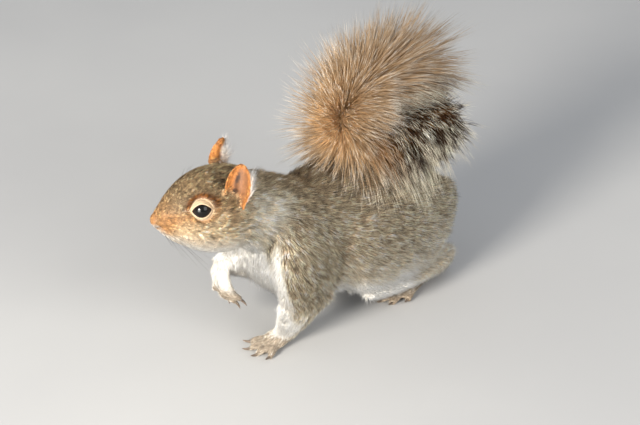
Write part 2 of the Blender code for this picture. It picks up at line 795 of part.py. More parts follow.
def main():
    global helpers, animal
    clear_scene()
    helpers, animal = collection("cutters"), collection("grey_squirrel")
    forms, claws = body_forms()
    body = on_floor(fused("body", forms))
    around = inflated(body, GAP)
    body = combined("flat_toed", body, toe_end_cutters(claws), "DIFFERENCE")
    parts = []
    for side, word in ((1, "left"), (-1, "right")):
        centre = head_point(EYE_BACK, side * EYE_OUT, EYE_HEIGHT)
        make_ball = ball_region(centre, [EYE_RADIUS] * 3)
        parts.append(node(f"eye_{word}", make_ball(0), EYE_BLACK))
        body = combined("socketed", body, make_ball(GAP), "DIFFERENCE")
        ear = combined(f"ear_{word}_form", ear_form(f"ear_{word}_leaf", side), around, "DIFFERENCE")
        parts.append(node(f"ear_{word}", ear, EAR_ORANGE))
    for name, piece in parted_body(body):
        parts.append(node(name, piece, finish_of(name)))
    for foot, ends in claws.items():
        for number, (tip, way) in enumerate(ends, 1):
            form = claw_form(f"{foot}_claw_{number}_form", tip, way, foot == RAISED_FOOT)
            parts.append(node(f"{foot}_claw_{number}", form, CLAW_BROWN))
    for number, length in enumerate(tail_lengths(), 1):
        if number <= TAIL_LENGTHS_ON_BACK:
            length = combined(f"tail_{number}_fitted_form", length, around, "DIFFERENCE")
        parts.append(node(f"tail_{number}", length, TAIL_BROWN))
    centre_on_floor(parts)
    helpers.hide_render = True


helpers = animal = None
main()
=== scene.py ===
import itertools
import math

import bmesh
import bpy
import numpy as np
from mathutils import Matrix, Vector
from mathutils.bvhtree import BVHTree
from mathutils.kdtree import KDTree


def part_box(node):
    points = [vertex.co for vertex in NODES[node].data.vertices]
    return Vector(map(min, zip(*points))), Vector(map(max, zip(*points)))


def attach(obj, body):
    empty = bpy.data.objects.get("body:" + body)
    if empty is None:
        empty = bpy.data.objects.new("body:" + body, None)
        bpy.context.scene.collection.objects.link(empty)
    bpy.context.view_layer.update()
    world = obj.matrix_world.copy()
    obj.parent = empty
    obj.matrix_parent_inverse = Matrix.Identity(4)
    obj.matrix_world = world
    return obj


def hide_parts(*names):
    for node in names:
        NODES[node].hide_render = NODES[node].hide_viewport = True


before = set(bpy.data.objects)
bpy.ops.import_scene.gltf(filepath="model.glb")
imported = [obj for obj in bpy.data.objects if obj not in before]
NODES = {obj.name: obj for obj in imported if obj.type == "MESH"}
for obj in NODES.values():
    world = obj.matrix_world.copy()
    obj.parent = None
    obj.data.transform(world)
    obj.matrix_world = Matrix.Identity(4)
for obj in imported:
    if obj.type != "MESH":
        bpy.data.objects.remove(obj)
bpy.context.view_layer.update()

# Lengths in this file are millimetres. They become metres where a mesh or an object is made.
MM = 0.001
X, _, Z = np.eye(3)

FLESH = sorted(n for n in NODES if not n.startswith(("eye", "tail")) and "claw" not in n)
TAIL = sorted(n for n in NODES if n.startswith("tail"))
CLAWS = sorted(n for n in NODES if "claw" in n)
SIDES = {"left": 1, "right": -1}

# The kinds of node, with how deep the coat lies over the skin on each.
DEPTHS = {
    "head": 2.2, "nose": 0.1, "ear": 0.3, "neck": 3.8, "chest": 4.4, "loin": 4.6, "rump": 4.4,
    "upper_arm": 3.4, "forearm": 1.7, "forepaw": 0.5, "thigh": 4.6, "shank": 1.0, "hindpaw": 0.5, "tail": 0.0,
}
KINDS = list(DEPTHS)

# ---- arithmetic


def ramp(low, high, value):
    """0 at low and 1 at high, with smooth ends; low may be the larger of the two."""
    share = np.clip((value - low) / (high - low), 0, 1)
    return share * share * (3 - 2 * share)


def bump(centre, width, value):
    return np.exp(-(((value - centre) / width) ** 2))


def unit(vectors):
    return vectors / np.maximum(np.linalg.norm(vectors, axis=-1, keepdims=True), 1e-9)


def dot(a, b):
    return (a * b).sum(-1)


def mixed(a, b, share):
    return a + (b - a) * np.asarray(share)[..., None]


def noise(points, cell, seed):
    """Smooth noise from -1 to 1 that changes over about one cell."""
    place = points / cell + seed * 17.31
    base = np.floor(place).astype(np.int64)
    part = place - base
    part = part * part * (3 - 2 * part)
    total = np.zeros(len(points))
    for corner in itertools.product((0, 1), repeat=3):
        key = base + corner
        mess = (key[:, 0] * 73856093) ^ (key[:, 1] * 19349663) ^ (key[:, 2] * 83492791) ^ (seed * 1640531)
        mess = (mess * 1103515245 + 12345) & 0x7FFFFFFF
        mess = ((mess ^ (mess >> 13)) * 1274126177) & 0x7FFFFFFF
        value = (mess >> 8 & 0xFFFF) / 32767.5 - 1
        total += value * np.where(corner, part, 1 - part).prod(1)
    return total


def noise_way(points, cell, seed):
    return np.stack([noise(points, cell, seed + i) for i in range(3)], 1)


def is_kind(kind, *names):
    return np.isin(kind, [KINDS.index(n) for n in names])


def share_of(weight, *names):
    return np.clip(sum(weight[n] for n in names), 0, 1)


def joined(shells):
    """Several (points, triangles) as one."""
    starts = np.cumsum([0] + [len(p) for p, _ in shells])
    return np.vstack([p for p, _ in shells]), np.vstack([f + start for (_, f), start in zip(shells, starts)])


def middle(node):
    low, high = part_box(node)
    return np.array((low + high) / 2) / MM


# ---- head frame

EYE = {side: middle("eye_" + side) for side in SIDES}
EYE_RADIUS = float(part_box("eye_left")[1].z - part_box("eye_left")[0].z) / 2 / MM
HEAD_LEFT = unit(EYE["left"] - EYE["right"])
HEAD_BACK = np.cross(Z, HEAD_LEFT)
NOSE_MIDDLE = middle("nose")


def head_frame(points):
    """How far back, left and up of the nose's middle each point lies."""
    away = points - NOSE_MIDDLE
    return away @ HEAD_BACK, away @ HEAD_LEFT, away[:, 2]


def head_point(back, left, up):
    return NOSE_MIDDLE + HEAD_BACK * back + HEAD_LEFT * left + Z * up


def eye_axes(side):
    """The eye's outward axis, and the axes along its opening's length and height."""
    sign = SIDES[side]
    outward = unit(HEAD_LEFT * sign * 0.90 - HEAD_BACK * 0.30 + Z * 0.26)
    along = HEAD_BACK + Z * 0.02
    along = unit(along - outward * dot(along, outward))
    return outward, along, np.cross(along, outward) * (-sign)


# ---- meshes


def placed(name, data):
    """A new object in the scene."""
    made = bpy.data.objects.new(name, data)
    bpy.context.scene.collection.objects.link(made)
    return made


def shown(made, material):
    """Gives a piece its material, and lets it ride on the one body."""
    made.data.materials.append(material)
    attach(made, "root")


def mesh_object(name, points, faces):
    mesh = bpy.data.meshes.new(name)
    mesh.from_pydata((np.asarray(points) * MM).tolist(), [], [list(map(int, f)) for f in faces])
    mesh.validate()
    mesh.polygons.foreach_set("use_smooth", [True] * len(mesh.polygons))
    return placed(name, mesh)


def set_points(mesh, points):
    mesh.vertices.foreach_set("co", (points * MM).astype(np.float32).ravel())


def point_values(mesh, name, values):
    """Stores a number or a colour for each point of the mesh."""
    if values.ndim == 1:
        kind, key = "FLOAT", "value"
    else:
        kind, key = "FLOAT_COLOR", "color"
        values = np.hstack([values, np.ones((len(values), 1))])
    mesh.attributes.new(name, kind, "POINT").data.foreach_set(key, values.astype(np.float32).ravel())


def points_of(mesh):
    flat = np.empty(len(mesh.vertices) * 3)
    mesh.vertices.foreach_get("co", flat)
    return flat.reshape(-1, 3) / MM


def triangles_of(mesh):
    mesh.calc_loop_triangles()
    flat = np.empty(len(mesh.loop_triangles) * 3, np.int32)
    mesh.loop_triangles.foreach_get("vertices", flat)
    return flat.reshape(-1, 3)


def node_shell(name):
    """A node's points and triangles, with doubled points welded."""
    points, triangles = points_of(NODES[name].data), triangles_of(NODES[name].data)
    keys, inverse = np.unique(np.round(points / 0.002).astype(np.int64), axis=0, return_inverse=True)
    inverse = inverse.ravel()
    merged = np.zeros((len(keys), 3))
    merged[inverse] = points
    faces = inverse[triangles]
    whole = (faces[:, 0] != faces[:, 1]) & (faces[:, 1] != faces[:, 2]) & (faces[:, 2] != faces[:, 0])
    return merged, faces[whole]


def vertex_normals(points, triangles):
    corners = points[triangles]
    face = np.cross(corners[:, 1] - corners[:, 0], corners[:, 2] - corners[:, 0])
    total = np.zeros_like(points)
    for corner, axis in itertools.product(range(3), range(3)):
        total[:, axis] += np.bincount(triangles[:, corner], face[:, axis], len(points))
    return unit(total)


class Surface:
    """A mesh as arrays, with averages over neighbours."""

    def __init__(self, mesh):
        self.points = points_of(mesh)
        triangles = triangles_of(mesh)
        _, first = np.unique(np.sort(triangles, axis=1), axis=0, return_index=True)
        self.triangles = triangles[np.sort(first)]
        flat = np.empty(len(mesh.edges) * 2, np.int32)
        mesh.edges.foreach_get("vertices", flat)
        self.a, self.b = flat.reshape(-1, 2).T
        self.degree = np.maximum(np.bincount(flat, minlength=len(self.points)), 1)
        self.refresh()

    def refresh(self):
        self.normals = vertex_normals(self.points, self.triangles)

    def around(self, values):
        if values.ndim == 1:
            count = len(values)
            total = np.bincount(self.a, values[self.b], count) + np.bincount(self.b, values[self.a], count)
            return total / self.degree
        return np.stack([self.around(values[:, i]) for i in range(values.shape[1])], 1)

    def spread(self, values, rounds):
        for _ in range(rounds):
            values = values + (self.around(values) - values) * 0.6
        return values

    def relax(self, share):
        self.points += (self.around(self.points) - self.points) * share[:, None]


# ---- the tail's core


def spline(stations, count):
    """A smooth line through the stations, with its points evenly spaced."""
    stations = np.array(stations, float)
    ends = np.vstack([2 * stations[0] - stations[1], stations, 2 * stations[-1] - stations[-2]])
    line = []
    for p, q, r, s in zip(ends, ends[1:], ends[2:], ends[3:]):
        for t in np.linspace(0, 1, 24, endpoint=False):
            line.append(0.5 * (2 * q + (r - p) * t + (2 * p - 5 * q + 4 * r - s) * t**2
                               + (3 * q - p - 3 * r + s) * t**3))
    line = np.array(line + [stations[-1]])
    run = np.concatenate([[0], np.cumsum(np.linalg.norm(np.diff(line, axis=0), axis=1))])
    even = np.linspace(0, run[-1], count)
    return np.stack([np.interp(even, run, line[:, i]) for i in range(3)], 1)


# Stations in the middle plane: it leaves the rump, lies forward over the back, turns up and runs back.
TAIL_CORE = [
    (76, 64), (86, 77), (86, 92), (74, 101), (56, 103), (38, 103), (24, 103), (14, 106), (9, 113),
    (11.5, 122), (21, 129.5), (35, 134), (51, 135), (64, 132.5),
]
TAIL_RADII = (6.0, 2.2)
TAIL_FOLD = 0.62  # share of the way along the core where it turns up and back


def tail_line(count):
    return spline([(0, y, z) for y, z in TAIL_CORE], count)


def tube(line, radii, sides):
    """A closed tube round the line: its points and faces."""
    tangents = unit(np.gradient(line, axis=0))
    points = []
    for point, tangent, radius in zip(line, tangents, radii):
        outer = np.cross(X, tangent)
        for k in range(sides):
            turn = 2 * math.pi * k / sides
            points.append(point + (X * math.cos(turn) + outer * math.sin(turn)) * radius)
    first, last, top = len(points), len(points) + 1, (len(line) - 1) * sides
    faces = []
    for start in range(0, top, sides):
        for k in range(sides):
            a, b = start + k, start + (k + 1) % sides
            faces += [(a, a + sides, b + sides), (a, b + sides, b)]
    for k in range(sides):
        after = (k + 1) % sides
        faces += [(first, k, after), (last, top + after, top + k)]
    return np.array(points + [line[0], line[-1]]), np.array(faces)


def tail_core():
    """The core as a tube that is stouter at its root and in the fold."""
    line = tail_line(80)
    shares = np.linspace(0, 1, len(line))
    radii = np.linspace(*TAIL_RADII, len(line)) + 4.5 * bump(TAIL_FOLD, 0.05, shares)
    return tube(line, radii + 5.0 * bump(0.09, 0.07, shares), 12)


# ---- ears

EAR_HEIGHT, EAR_HALF_WIDTH, EAR_THICKNESS = 24.0, 7.9, 1.5
EAR_ROWS, EAR_COLUMNS = 26, 22
# How far each ear leans back, and how far it opens outward and forward.
EAR_SETTING = {"left": (0.12, 0.80, 0.60), "right": (-0.12, 0.74, 0.68)}


def ear_axes(side):
    sign = SIDES[side]
    lean, outward, forward = EAR_SETTING[side]
    up = unit(Z * 0.98 - HEAD_LEFT * (sign * 0.05) + HEAD_BACK * lean)
    opening = HEAD_LEFT * (sign * outward) - HEAD_BACK * forward
    opening = unit(opening - up * dot(opening, up))
    return up, opening, np.cross(up, opening) * sign


def ear_sheet(side):
    """The middle sheet as a grid. u runs across it from -1 in front to 1 at the rear, and v runs up."""
    up, opening, rearward = ear_axes(side)
    high = np.sin(np.linspace(0, math.pi / 2, EAR_ROWS + 1))
    across = np.linspace(-1, 1, EAR_COLUMNS + 1)
    v, u = [a.ravel() for a in np.meshgrid(high, across, indexing="ij")]
    taper = np.sqrt(np.clip(1 - np.clip((v - 0.42) / 0.58, 0, 1) ** 2.6, 0.004, 1))
    half = EAR_HALF_WIDTH * (0.66 + 0.34 * ramp(0, 0.42, v)) * taper
    hollow = 5.4 * (1.12 - 0.55 * v) * np.abs(u) ** 1.7 * np.clip(taper, 0.35, 1)
    rolled = 1.3 * ramp(-0.55, -1.0, u) * ramp(0.15, 0.5, v)
    ridge = 1.1 * bump(-0.25, 0.2, u) * bump(0.45, 0.22, v)
    place = up * (EAR_HEIGHT * v)[:, None] + rearward * (half * u + 0.8 * rolled)[:, None]
    place = place + opening * (hollow + rolled + ridge - 1.6 * v**2)[:, None]
    place += middle("ear_" + side) - (place.min(0) + place.max(0)) / 2
    return place, u, v


def ear_leaf(side):
    """The sheet thickened: its points and faces, and for each point u, v and 1 inside the cup or 0 behind."""
    place, u, v = ear_sheet(side)
    line = EAR_COLUMNS + 1
    faces = []
    for a in (r * line + k for r in range(EAR_ROWS) for k in range(EAR_COLUMNS)):
        faces += [(a, a + 1, a + line + 1), (a, a + line + 1, a + line)]
    faces = np.array(faces)
    normal = vertex_normals(place, faces)
    if (normal @ ear_axes(side)[1]).mean() < 0:
        faces, normal = faces[:, ::-1], -normal
    count = len(place)
    points = np.vstack([place + normal * EAR_THICKNESS / 2, place - normal * EAR_THICKNESS / 2])
    rim = [k for k in range(line)] + [r * line + EAR_COLUMNS for r in range(1, EAR_ROWS + 1)]
    rim += [EAR_ROWS * line + k for k in range(EAR_COLUMNS - 1, -1, -1)]
    rim += [r * line for r in range(EAR_ROWS - 1, 0, -1)]
    edges = {tuple(sorted((f[i], f[(i + 1) % 3]))): (f[i], f[(i + 1) % 3]) for f in faces for i in range(3)}
    walls = []
    for a, b in zip(rim, rim[1:] + rim[:1]):
        c, d = edges[tuple(sorted((a, b)))]
        walls += [(d, c, c + count), (d, c + count, d + count)]
    whole = np.vstack([faces, faces[:, ::-1] + count, walls])
    inner = np.concatenate([np.ones(count), np.zeros(count)])
    return points, whole, np.stack([np.tile(u, 2), np.tile(v, 2), inner], 1)


def ear_places(skin, kind, ears):
    """On the ears u, v and whether the point is inside the cup; elsewhere 0."""
    values = np.zeros((len(skin.points), 3))
    chosen = np.flatnonzero(is_kind(kind, "ear"))
    leaves = np.vstack([leaf[0] for leaf in ears.values()])
    known = np.vstack([leaf[2] for leaf in ears.values()])
    values[chosen] = known[nearest(leaves, skin.points[chosen])]
    return values


def ear_slits(place):
    """The two hollows in the cup of the ear, the fold above and the ear's opening below, both darkened with
    painted shade.
    """
    u, v, inner = place.T
    upper = bump(-0.20 + 0.5 * (v - 0.66), 0.14, u) * bump(0.66, 0.15, v)
    lower = bump(-0.30 + 0.6 * (v - 0.30), 0.18, u) * bump(0.30, 0.17, v)
    return np.clip(1.4 * (upper + lower), 0, 1) * inner


# ---- skin

VOXEL = 0.75  # how finely the nodes are made one
JOIN = 0.25  # how far each node grows first
ROUNDING_ROUNDS, BENDING_ROUNDS, SINKING_STEPS = 26, 60, 6


def gathered_flesh(ears):
    """The nodes of flesh and the tail's core, each a little grown, with every face's kind of node.

    The eyes are among them, so that the skin closes over their sockets before the lids are shaped.
    """
    shells, kinds = [], []
    for name in FLESH + ["eye_left", "eye_right"]:
        if name.startswith("ear"):
            p, f = ears[name.split("_")[1]][:2]
        else:
            p, f = node_shell(name)
            p = p + vertex_normals(p, f) * JOIN
        shells.append((p, f))
        kinds.append("head" if name.startswith("eye") else next(k for k in KINDS if name.startswith(k)))
    shells.append(tail_core())
    kinds.append("tail")
    return *joined(shells), np.repeat([KINDS.index(k) for k in kinds], [len(f) for _, f in shells])


def nearest(targets, points):
    tree = KDTree(len(targets))
    for i, target in enumerate(targets):
        tree.insert(target, i)
    tree.balance()
    return np.array([tree.find(point)[1] for point in points])


def refined(mesh, places, longest=0.0):
    """Smaller faces near each (centre, reach), where edges are longer than the longest wanted."""
    bm = bmesh.new()
    bm.from_mesh(mesh)
    for centre, reach in places:
        spot = Vector(centre) * MM
        near = {v for v in bm.verts if (v.co - spot).length < reach * MM}
        edges = [e for e in bm.edges if near.issuperset(e.verts) and e.calc_length() > longest * MM]
        bmesh.ops.subdivide_edges(bm, edges=edges, cuts=1, use_grid_fill=longest == 0)
        bmesh.ops.triangulate(bm, faces=[f for f in bm.faces if len(f.verts) > 4])
    bm.to_mesh(mesh)
    bm.free()
    mesh.validate()


def made_skin(ears):
    """One closed surface over all the flesh: its mesh, the mesh as arrays, and each point's kind of node."""
    points, faces, kinds = gathered_flesh(ears)
    raw = mesh_object("skin_raw", points, faces)
    remesh = raw.modifiers.new("remesh", "REMESH")
    remesh.mode, remesh.voxel_size, remesh.adaptivity = "VOXEL", VOXEL * MM, 0
    remesh.use_smooth_shade = True
    whole = bpy.data.meshes.new_from_object(raw.evaluated_get(bpy.context.evaluated_depsgraph_get()))
    bpy.data.objects.remove(raw)
    refined(whole, [(EYE[s], reach) for s in EYE for reach in (11, 9)] + [(NOSE_MIDDLE, 9)])
    tree = tree_of(points, faces)
    skin = Surface(whole)
    return whole, skin, np.array([kinds[tree.find_nearest(Vector(p))[2]] for p in skin.points])


def shaped_skin(skin, kind):
    """Rounds the solids' facets and sinks the skin by the coat's depth."""
    strength = skin.spread(np.where(is_kind(kind, "ear", "forepaw", "hindpaw", "nose"), 0.05, 0.6), 4)
    for _ in range(ROUNDING_ROUNDS):
        skin.relax(strength)
    back, _, _ = head_frame(skin.points)
    depth = np.array(list(DEPTHS.values()))[kind]
    depth = np.where(is_kind(kind, "head"), 0.5 + 1.9 * ramp(4, 36, back), depth)
    standing_arm = is_kind(kind, "upper_arm", "forearm") & (skin.points[:, 0] > 0)
    depth = np.where(standing_arm, 1.1 + 2.3 * ramp(10, 46, skin.points[:, 2]), depth)
    depth = skin.spread(depth, 14)
    bending = skin.spread(standing_arm * ramp(14, 22, skin.points[:, 2]), 6)
    for _ in range(BENDING_ROUNDS):
        skin.relax(0.6 * bending)
    for _ in range(SINKING_STEPS):
        skin.refresh()
        skin.points -= unit(skin.spread(skin.normals, 2)) * (depth / SINKING_STEPS)[:, None]
        skin.relax(strength * 0.3)
    skin.refresh()


# ---- eyes, nose and mouth

OPENING_HALF_LENGTH, OPENING_HALF_HEIGHT = 5.35, 3.75
SOCKET_RADIUS = EYE_RADIUS - 1.2
LID_RADIUS = EYE_RADIUS + 0.35


def opening_measure(u, v):
    """How far a point lies from the middle of the eye's opening: 1 on the edge of the lids."""
    bend = np.clip(1 - np.abs(u / (OPENING_HALF_LENGTH * 1.35)) ** 2.4, 0.05, 1)
    return np.sqrt((u / OPENING_HALF_LENGTH) ** 2 + (v / (OPENING_HALF_HEIGHT * bend)) ** 2)


def sculpt_eye(skin, side):
    """Lids that wrap the ball round an almond opening, and a socket behind it: the opening's measure."""
    far = 9
    outward, along, across = eye_axes(side)
    away = skin.points - EYE[side]
    reach = np.linalg.norm(away, axis=1)
    spread = np.maximum(reach, EYE_RADIUS) / reach
    near = (reach < 16) & (away @ outward > -1)
    measure = np.where(near, opening_measure((away @ along) * spread, (away @ across) * spread), far)
    lid = LID_RADIUS + 0.35 * bump(1.12, 0.16, measure)
    outer = lid + (reach - lid) * ramp(1.3, 2.3, measure)
    skin.points += unit(away) * np.where(near & (measure < 2.6), outer - reach, 0)[:, None]

    away = skin.points - EYE[side]
    u, v = away @ along, away @ across
    measure = np.where(near, opening_measure(u, v), far)
    edge = near & (np.abs(measure - 1) < 0.036)
    for _ in range(2):
        scale = 1 / opening_measure(u[edge], v[edge])
        u[edge] *= scale
        v[edge] *= scale
    w = np.sqrt(np.maximum(LID_RADIUS**2 - u[edge] ** 2 - v[edge] ** 2, 0))
    on_lid = EYE[side] + along * u[edge][:, None] + across * v[edge][:, None]
    skin.points[edge] = on_lid + outward * w[:, None]
    socket = near & (measure <= 0.964)
    skin.points[socket] = EYE[side] + unit(away[socket]) * SOCKET_RADIUS
    return measure


def finer_lids(whole, skin):
    """The skin with smaller faces round the eyes, and for each of its points the old one it takes after."""
    for side in EYE:
        sculpt_eye(skin, side)
    set_points(whole, skin.points)
    refined(whole, [(EYE[side], 8.5) for side in EYE for _ in range(3)], longest=0.22)
    finer = Surface(whole)
    count = len(skin.points)
    return finer, np.concatenate([np.arange(count), nearest(skin.points, finer.points[count:])])


def sculpt_face(skin):
    """The nose pad, nostrils, cleft, lips and cheeks. Returns how much painted shade darkens the skin in the
    nostrils, the cleft and along the lips.
    """
    back, left, up = head_frame(skin.points)
    out = np.abs(left)
    inward = -unit(skin.points - head_point(16, 0, -5))
    on_head = ramp(62, 54, back) * ramp(26, 22, out) * ramp(-34, -28, up)
    nostril = bump(2.7 + 0.5 * (up + 4.0), 0.70, out) * bump(-4.0, 1.0, up) * ramp(6, 3, back)
    cleft = bump(0, 0.45, left) * ramp(-3.8, -4.8, up) * ramp(-10, -8, up) * ramp(7, 4, back)
    lip_height = -9.4 - 0.42 * np.clip(back - 2, 0, 12)
    lips = bump(lip_height, 0.55, up) * ramp(15, 11, back) * (out < 12)
    pad = bump(0, 3.2, left) * bump(-2.4, 3.0, up) * ramp(5, 1, back)
    rim = bump(4.6, 1.2, np.hypot(out, up + 2.6)) * ramp(7, 3, back) * ramp(-1, -3, up)
    whisker_pad = bump(6.5, 3.2, out) * bump(-6.5, 3.0, up) * bump(7.5, 4.5, back)
    bridge = bump(0, 3.5, left) * bump(4.5, 2.2, back) * ramp(0, 2, up)
    push = 0.5 * pad + 0.5 * whisker_pad - 1.9 * nostril - 0.6 * cleft - 0.9 * lips
    push = push - 0.35 * rim - 0.4 * bridge
    skin.points -= inward * (push * on_head)[:, None]
    # Painted shade in the nostrils, the cleft and along the lips.
    return np.clip((1.5 * nostril + 0.5 * cleft + 0.75 * lips) * on_head, 0, 1)


# ---- camera and lights

CAMERA_AZIMUTH, CAMERA_ELEVATION, CAMERA_DISTANCE = math.radians(47), math.radians(32), 1400
CAMERA_LENS, SENSOR = 138.2, 36
VIEW_ANCHOR = np.array([14.0, -61.6, 0.0])  # the standing forefoot's palm
ANCHOR_RIGHT, ANCHOR_UP = 29.6, 77.8  # from the palm to the picture's middle

BACKWARD = np.array([
    math.sin(CAMERA_AZIMUTH) * math.cos(CAMERA_ELEVATION),
    -math.cos(CAMERA_AZIMUTH) * math.cos(CAMERA_ELEVATION),
    math.sin(CAMERA_ELEVATION),
])
RIGHTWARD = np.array([math.cos(CAMERA_AZIMUTH), math.sin(CAMERA_AZIMUTH), 0])
UPWARD = np.cross(BACKWARD, RIGHTWARD)

# Places are metres to the right, toward the camera and up; then size, watts, colour and target.
LIGHTS = {
    "key": ((-0.85, 1.20, 0.68), 0.5, 42, (1.0, 0.94, 0.85), (0, 0, 0.07)),
    "low": ((-0.75, 1.10, 0.20), 0.7, 15, (1.0, 0.97, 0.92), (0, -0.03, 0.04)),
    "fill": ((1.0, 1.1, 0.9), 1.2, 15, (1.0, 0.98, 0.95), (0, 0, 0.07)),
}
FLOOR_HALF_WIDTH = 5.0


def aimed(item, place, target):
    item.location = place
    item.rotation_euler = (Vector(target) - Vector(place)).to_track_quat("-Z", "Y").to_euler()


def add_camera():
    data = bpy.data.cameras.new("camera")
    data.lens, data.sensor_width = CAMERA_LENS, SENSOR
    data.clip_start, data.clip_end = 0.05, 50
    camera = placed("camera", data)
    target = VIEW_ANCHOR + RIGHTWARD * ANCHOR_RIGHT + UPWARD * ANCHOR_UP
    aimed(camera, (VIEW_ANCHOR + BACKWARD * CAMERA_DISTANCE) * MM, target * MM)
    bpy.context.scene.camera = camera


def add_lights():
    world = bpy.data.worlds.new("studio")
    bpy.context.scene.world = world
    world.use_nodes = True
    world.node_tree.nodes["Background"].inputs["Color"].default_value = (0.80, 0.84, 0.90, 1)
    world.node_tree.nodes["Background"].inputs["Strength"].default_value = 0.62
    toward = unit(BACKWARD * (1, 1, 0))
    for name, ((right, ahead, up), size, watts, warmth, target) in LIGHTS.items():
        data = bpy.data.lights.new(name, "AREA")
        data.shape, data.size, data.energy, data.color = "DISK", size, watts, warmth
        aimed(placed(name, data), RIGHTWARD * right + toward * ahead + Z * up, target)


def add_floor():
    corners = np.array([(-1, -1, 0), (1, -1, 0), (1, 1, 0), (-1, 1, 0)]) * FLOOR_HALF_WIDTH / MM
    floor = mesh_object("floor", corners, [(0, 1, 2, 3)])
    floor.data.materials.append(floor_material())


# ---- materials


class Material:
    """A node material built link by link."""

    def __init__(self, name, roughness, **inputs):
        self.made = bpy.data.materials.new(name)
        self.made.use_nodes = True
        self.tree = self.made.node_tree
        self.shader = self.tree.nodes["Principled BSDF"]
        self.shader.inputs["Roughness"].default_value = roughness
        for key, value in inputs.items():
            self.shader.inputs[key.replace("_", " ")].default_value = value

    def node(self, kind, **values):
        made = self.tree.nodes.new("ShaderNode" + kind)
        for key, value in values.items():
            if hasattr(made, key):
                setattr(made, key, value)
            else:
                made.inputs[key].default_value = value
        return made

    def put(self, value, socket):
        if isinstance(value, bpy.types.NodeSocket):
            self.tree.links.new(value, socket)
        else:
            socket.default_value = value

    def attribute(self, name, output="Color"):
        return self.node("Attribute", attribute_name=name).outputs[output]

    def ramp(self, value, stops):
        made = self.node("ValToRGB")
        made.color_ramp.interpolation = "EASE"
        while len(made.color_ramp.elements) < len(stops):
            made.color_ramp.elements.new(0.5)
        for element, (place, c) in zip(made.color_ramp.elements, stops):
            element.position = place
            element.color = (*c, 1) if np.ndim(c) else (c, c, c, 1)
        self.put(value, made.inputs[0])
        return made.outputs[0]

    def mix(self, share, a, b):
        made = self.node("Mix", data_type="RGBA")
        first, second = [s for s in made.inputs if s.type == "RGBA"]
        for value, socket in ((share, made.inputs["Factor"]), (a, first), (b, second)):
            self.put(value, socket)
        return next(s for s in made.outputs if s.type == "RGBA")

    def noise(self, scale, detail, roughness=0.5):
        made = self.node("TexNoise", Scale=scale, Detail=detail, Roughness=roughness)
        self.put(self.node("TexCoord").outputs["Object"], made.inputs["Vector"])
        return made.outputs[0]

    def bump(self, height, distance, strength):
        made = self.node("Bump", Distance=distance, Strength=strength)
        self.put(height, made.inputs["Height"])
        self.put(made.outputs[0], self.shader.inputs["Normal"])

    def base(self, value):
        self.put(value, self.shader.inputs["Base Color"])


def floor_material():
    m = Material("pale_floor", 0.75)
    m.base(m.ramp(m.noise(3.0, 4), [(0.35, (0.43, 0.43, 0.43)), (0.7, (0.47, 0.47, 0.465))]))
    return m.made


def fur_material(name, to_middle, to_tip):
    """Hair whose colour runs from root through a middle band to the tip, each change over its own stretch."""
    m = Material(name, 0.62, Specular_IOR_Level=0.28)
    along = m.attribute("fur_along", "Fac")
    lower, upper = [m.ramp(along, [(low, 0.0), (high, 1.0)]) for low, high in (to_middle, to_tip)]
    shade = m.mix(lower, m.attribute("fur_root"), m.attribute("fur_mid"))
    m.base(m.mix(upper, shade, m.attribute("fur_tip")))
    return m.made


def skin_material():
    """Short fur as bump over the coat's own colours, and bare skin at the nose, lids and lips."""
    m = Material("skin_and_short_fur", 0.6)
    black = (0, 0, 0, 1)
    grain = m.noise(1900, 3, 0.6)
    tone = m.mix(m.ramp(grain, [(0.3, 0.62), (0.7, 1.12)]), black, m.attribute("skin_colour"))
    patches = m.ramp(m.noise(260, 2), [(0.35, 0.7), (0.65, 1.05)])
    m.base(m.mix(0.35, tone, m.mix(patches, black, tone)))
    m.bump(grain, 0.0003, 0.6)
    return m.made


def eye_material():
    """A dark brown eye under a wet, clear surface, with a faintly lighter iris round the pupil."""
    m = Material("eye", 0.2, Specular_IOR_Level=0.1, Coat_Weight=0.8, Coat_Roughness=0.03, Coat_IOR=1.34)
    m.base(m.ramp(m.attribute("eye_ring", "Fac"), [
        (0.0, (0.002, 0.002, 0.002)), (0.34, (0.003, 0.002, 0.002)), (0.44, (0.010, 0.005, 0.003)),
        (0.75, (0.007, 0.004, 0.003)), (0.95, (0.004, 0.003, 0.002)),
    ]))
    return m.made


def claw_material():
    m = Material("claw", 0.35)
    m.base(m.ramp(m.noise(350, 2), [(0.3, (0.100, 0.072, 0.052)), (0.7, (0.220, 0.165, 0.120))]))
    m.bump(m.noise(700, 2), 0.0002, 0.3)
    return m.made


def whisker_material():
    m = Material("whisker", 0.4)
    along = m.attribute("fur_along", "Fac")
    m.base(m.ramp(along, [(0.0, (0.012, 0.009, 0.007)), (1.0, (0.05, 0.04, 0.03))]))
    return m.made


# ---- markings


def colour(red, green, blue):
    """A display colour, 0 to 255, as the shader's linear one."""
    c = np.array([red, green, blue]) / 255
    return np.where(c <= 0.04045, c / 12.92, ((c + 0.055) / 1.055) ** 2.4)


def hair(root, mid, tip):
    return np.array([colour(*root), colour(*mid), colour(*tip)])


# Hair colours: root, middle and tip.
GREY = hair((90, 78, 62), (138, 118, 94), (250, 230, 194))
BACK = hair((70, 60, 48), (106, 88, 68), (212, 190, 154))
CROWN = hair((90, 71, 48), (130, 105, 74), (206, 176, 132))
TAN = hair((136, 92, 54), (160, 116, 70), (196, 150, 98))
CHEEK = hair((168, 138, 102), (198, 168, 130), (238, 216, 180))
RUFF = hair((166, 150, 128), (212, 194, 166), (250, 240, 220))
WHITE = hair((214, 208, 198), (240, 236, 228), (252, 250, 246))
RING = hair((196, 164, 128), (220, 192, 158), (246, 228, 200))
BROW = hair((76, 40, 8), (110, 62, 12), (144, 86, 20))
EAR = hair((160, 98, 46), (192, 124, 62), (226, 160, 94))
EAR_CUP = hair((122, 78, 46), (148, 100, 62), (184, 132, 88))
# Painted shade for the ear's two hollows.
EAR_SLIT_SHADE = hair((34, 16, 8), (42, 20, 10), (64, 36, 20))
FOOT = hair((118, 104, 90), (158, 144, 126), (206, 194, 176))
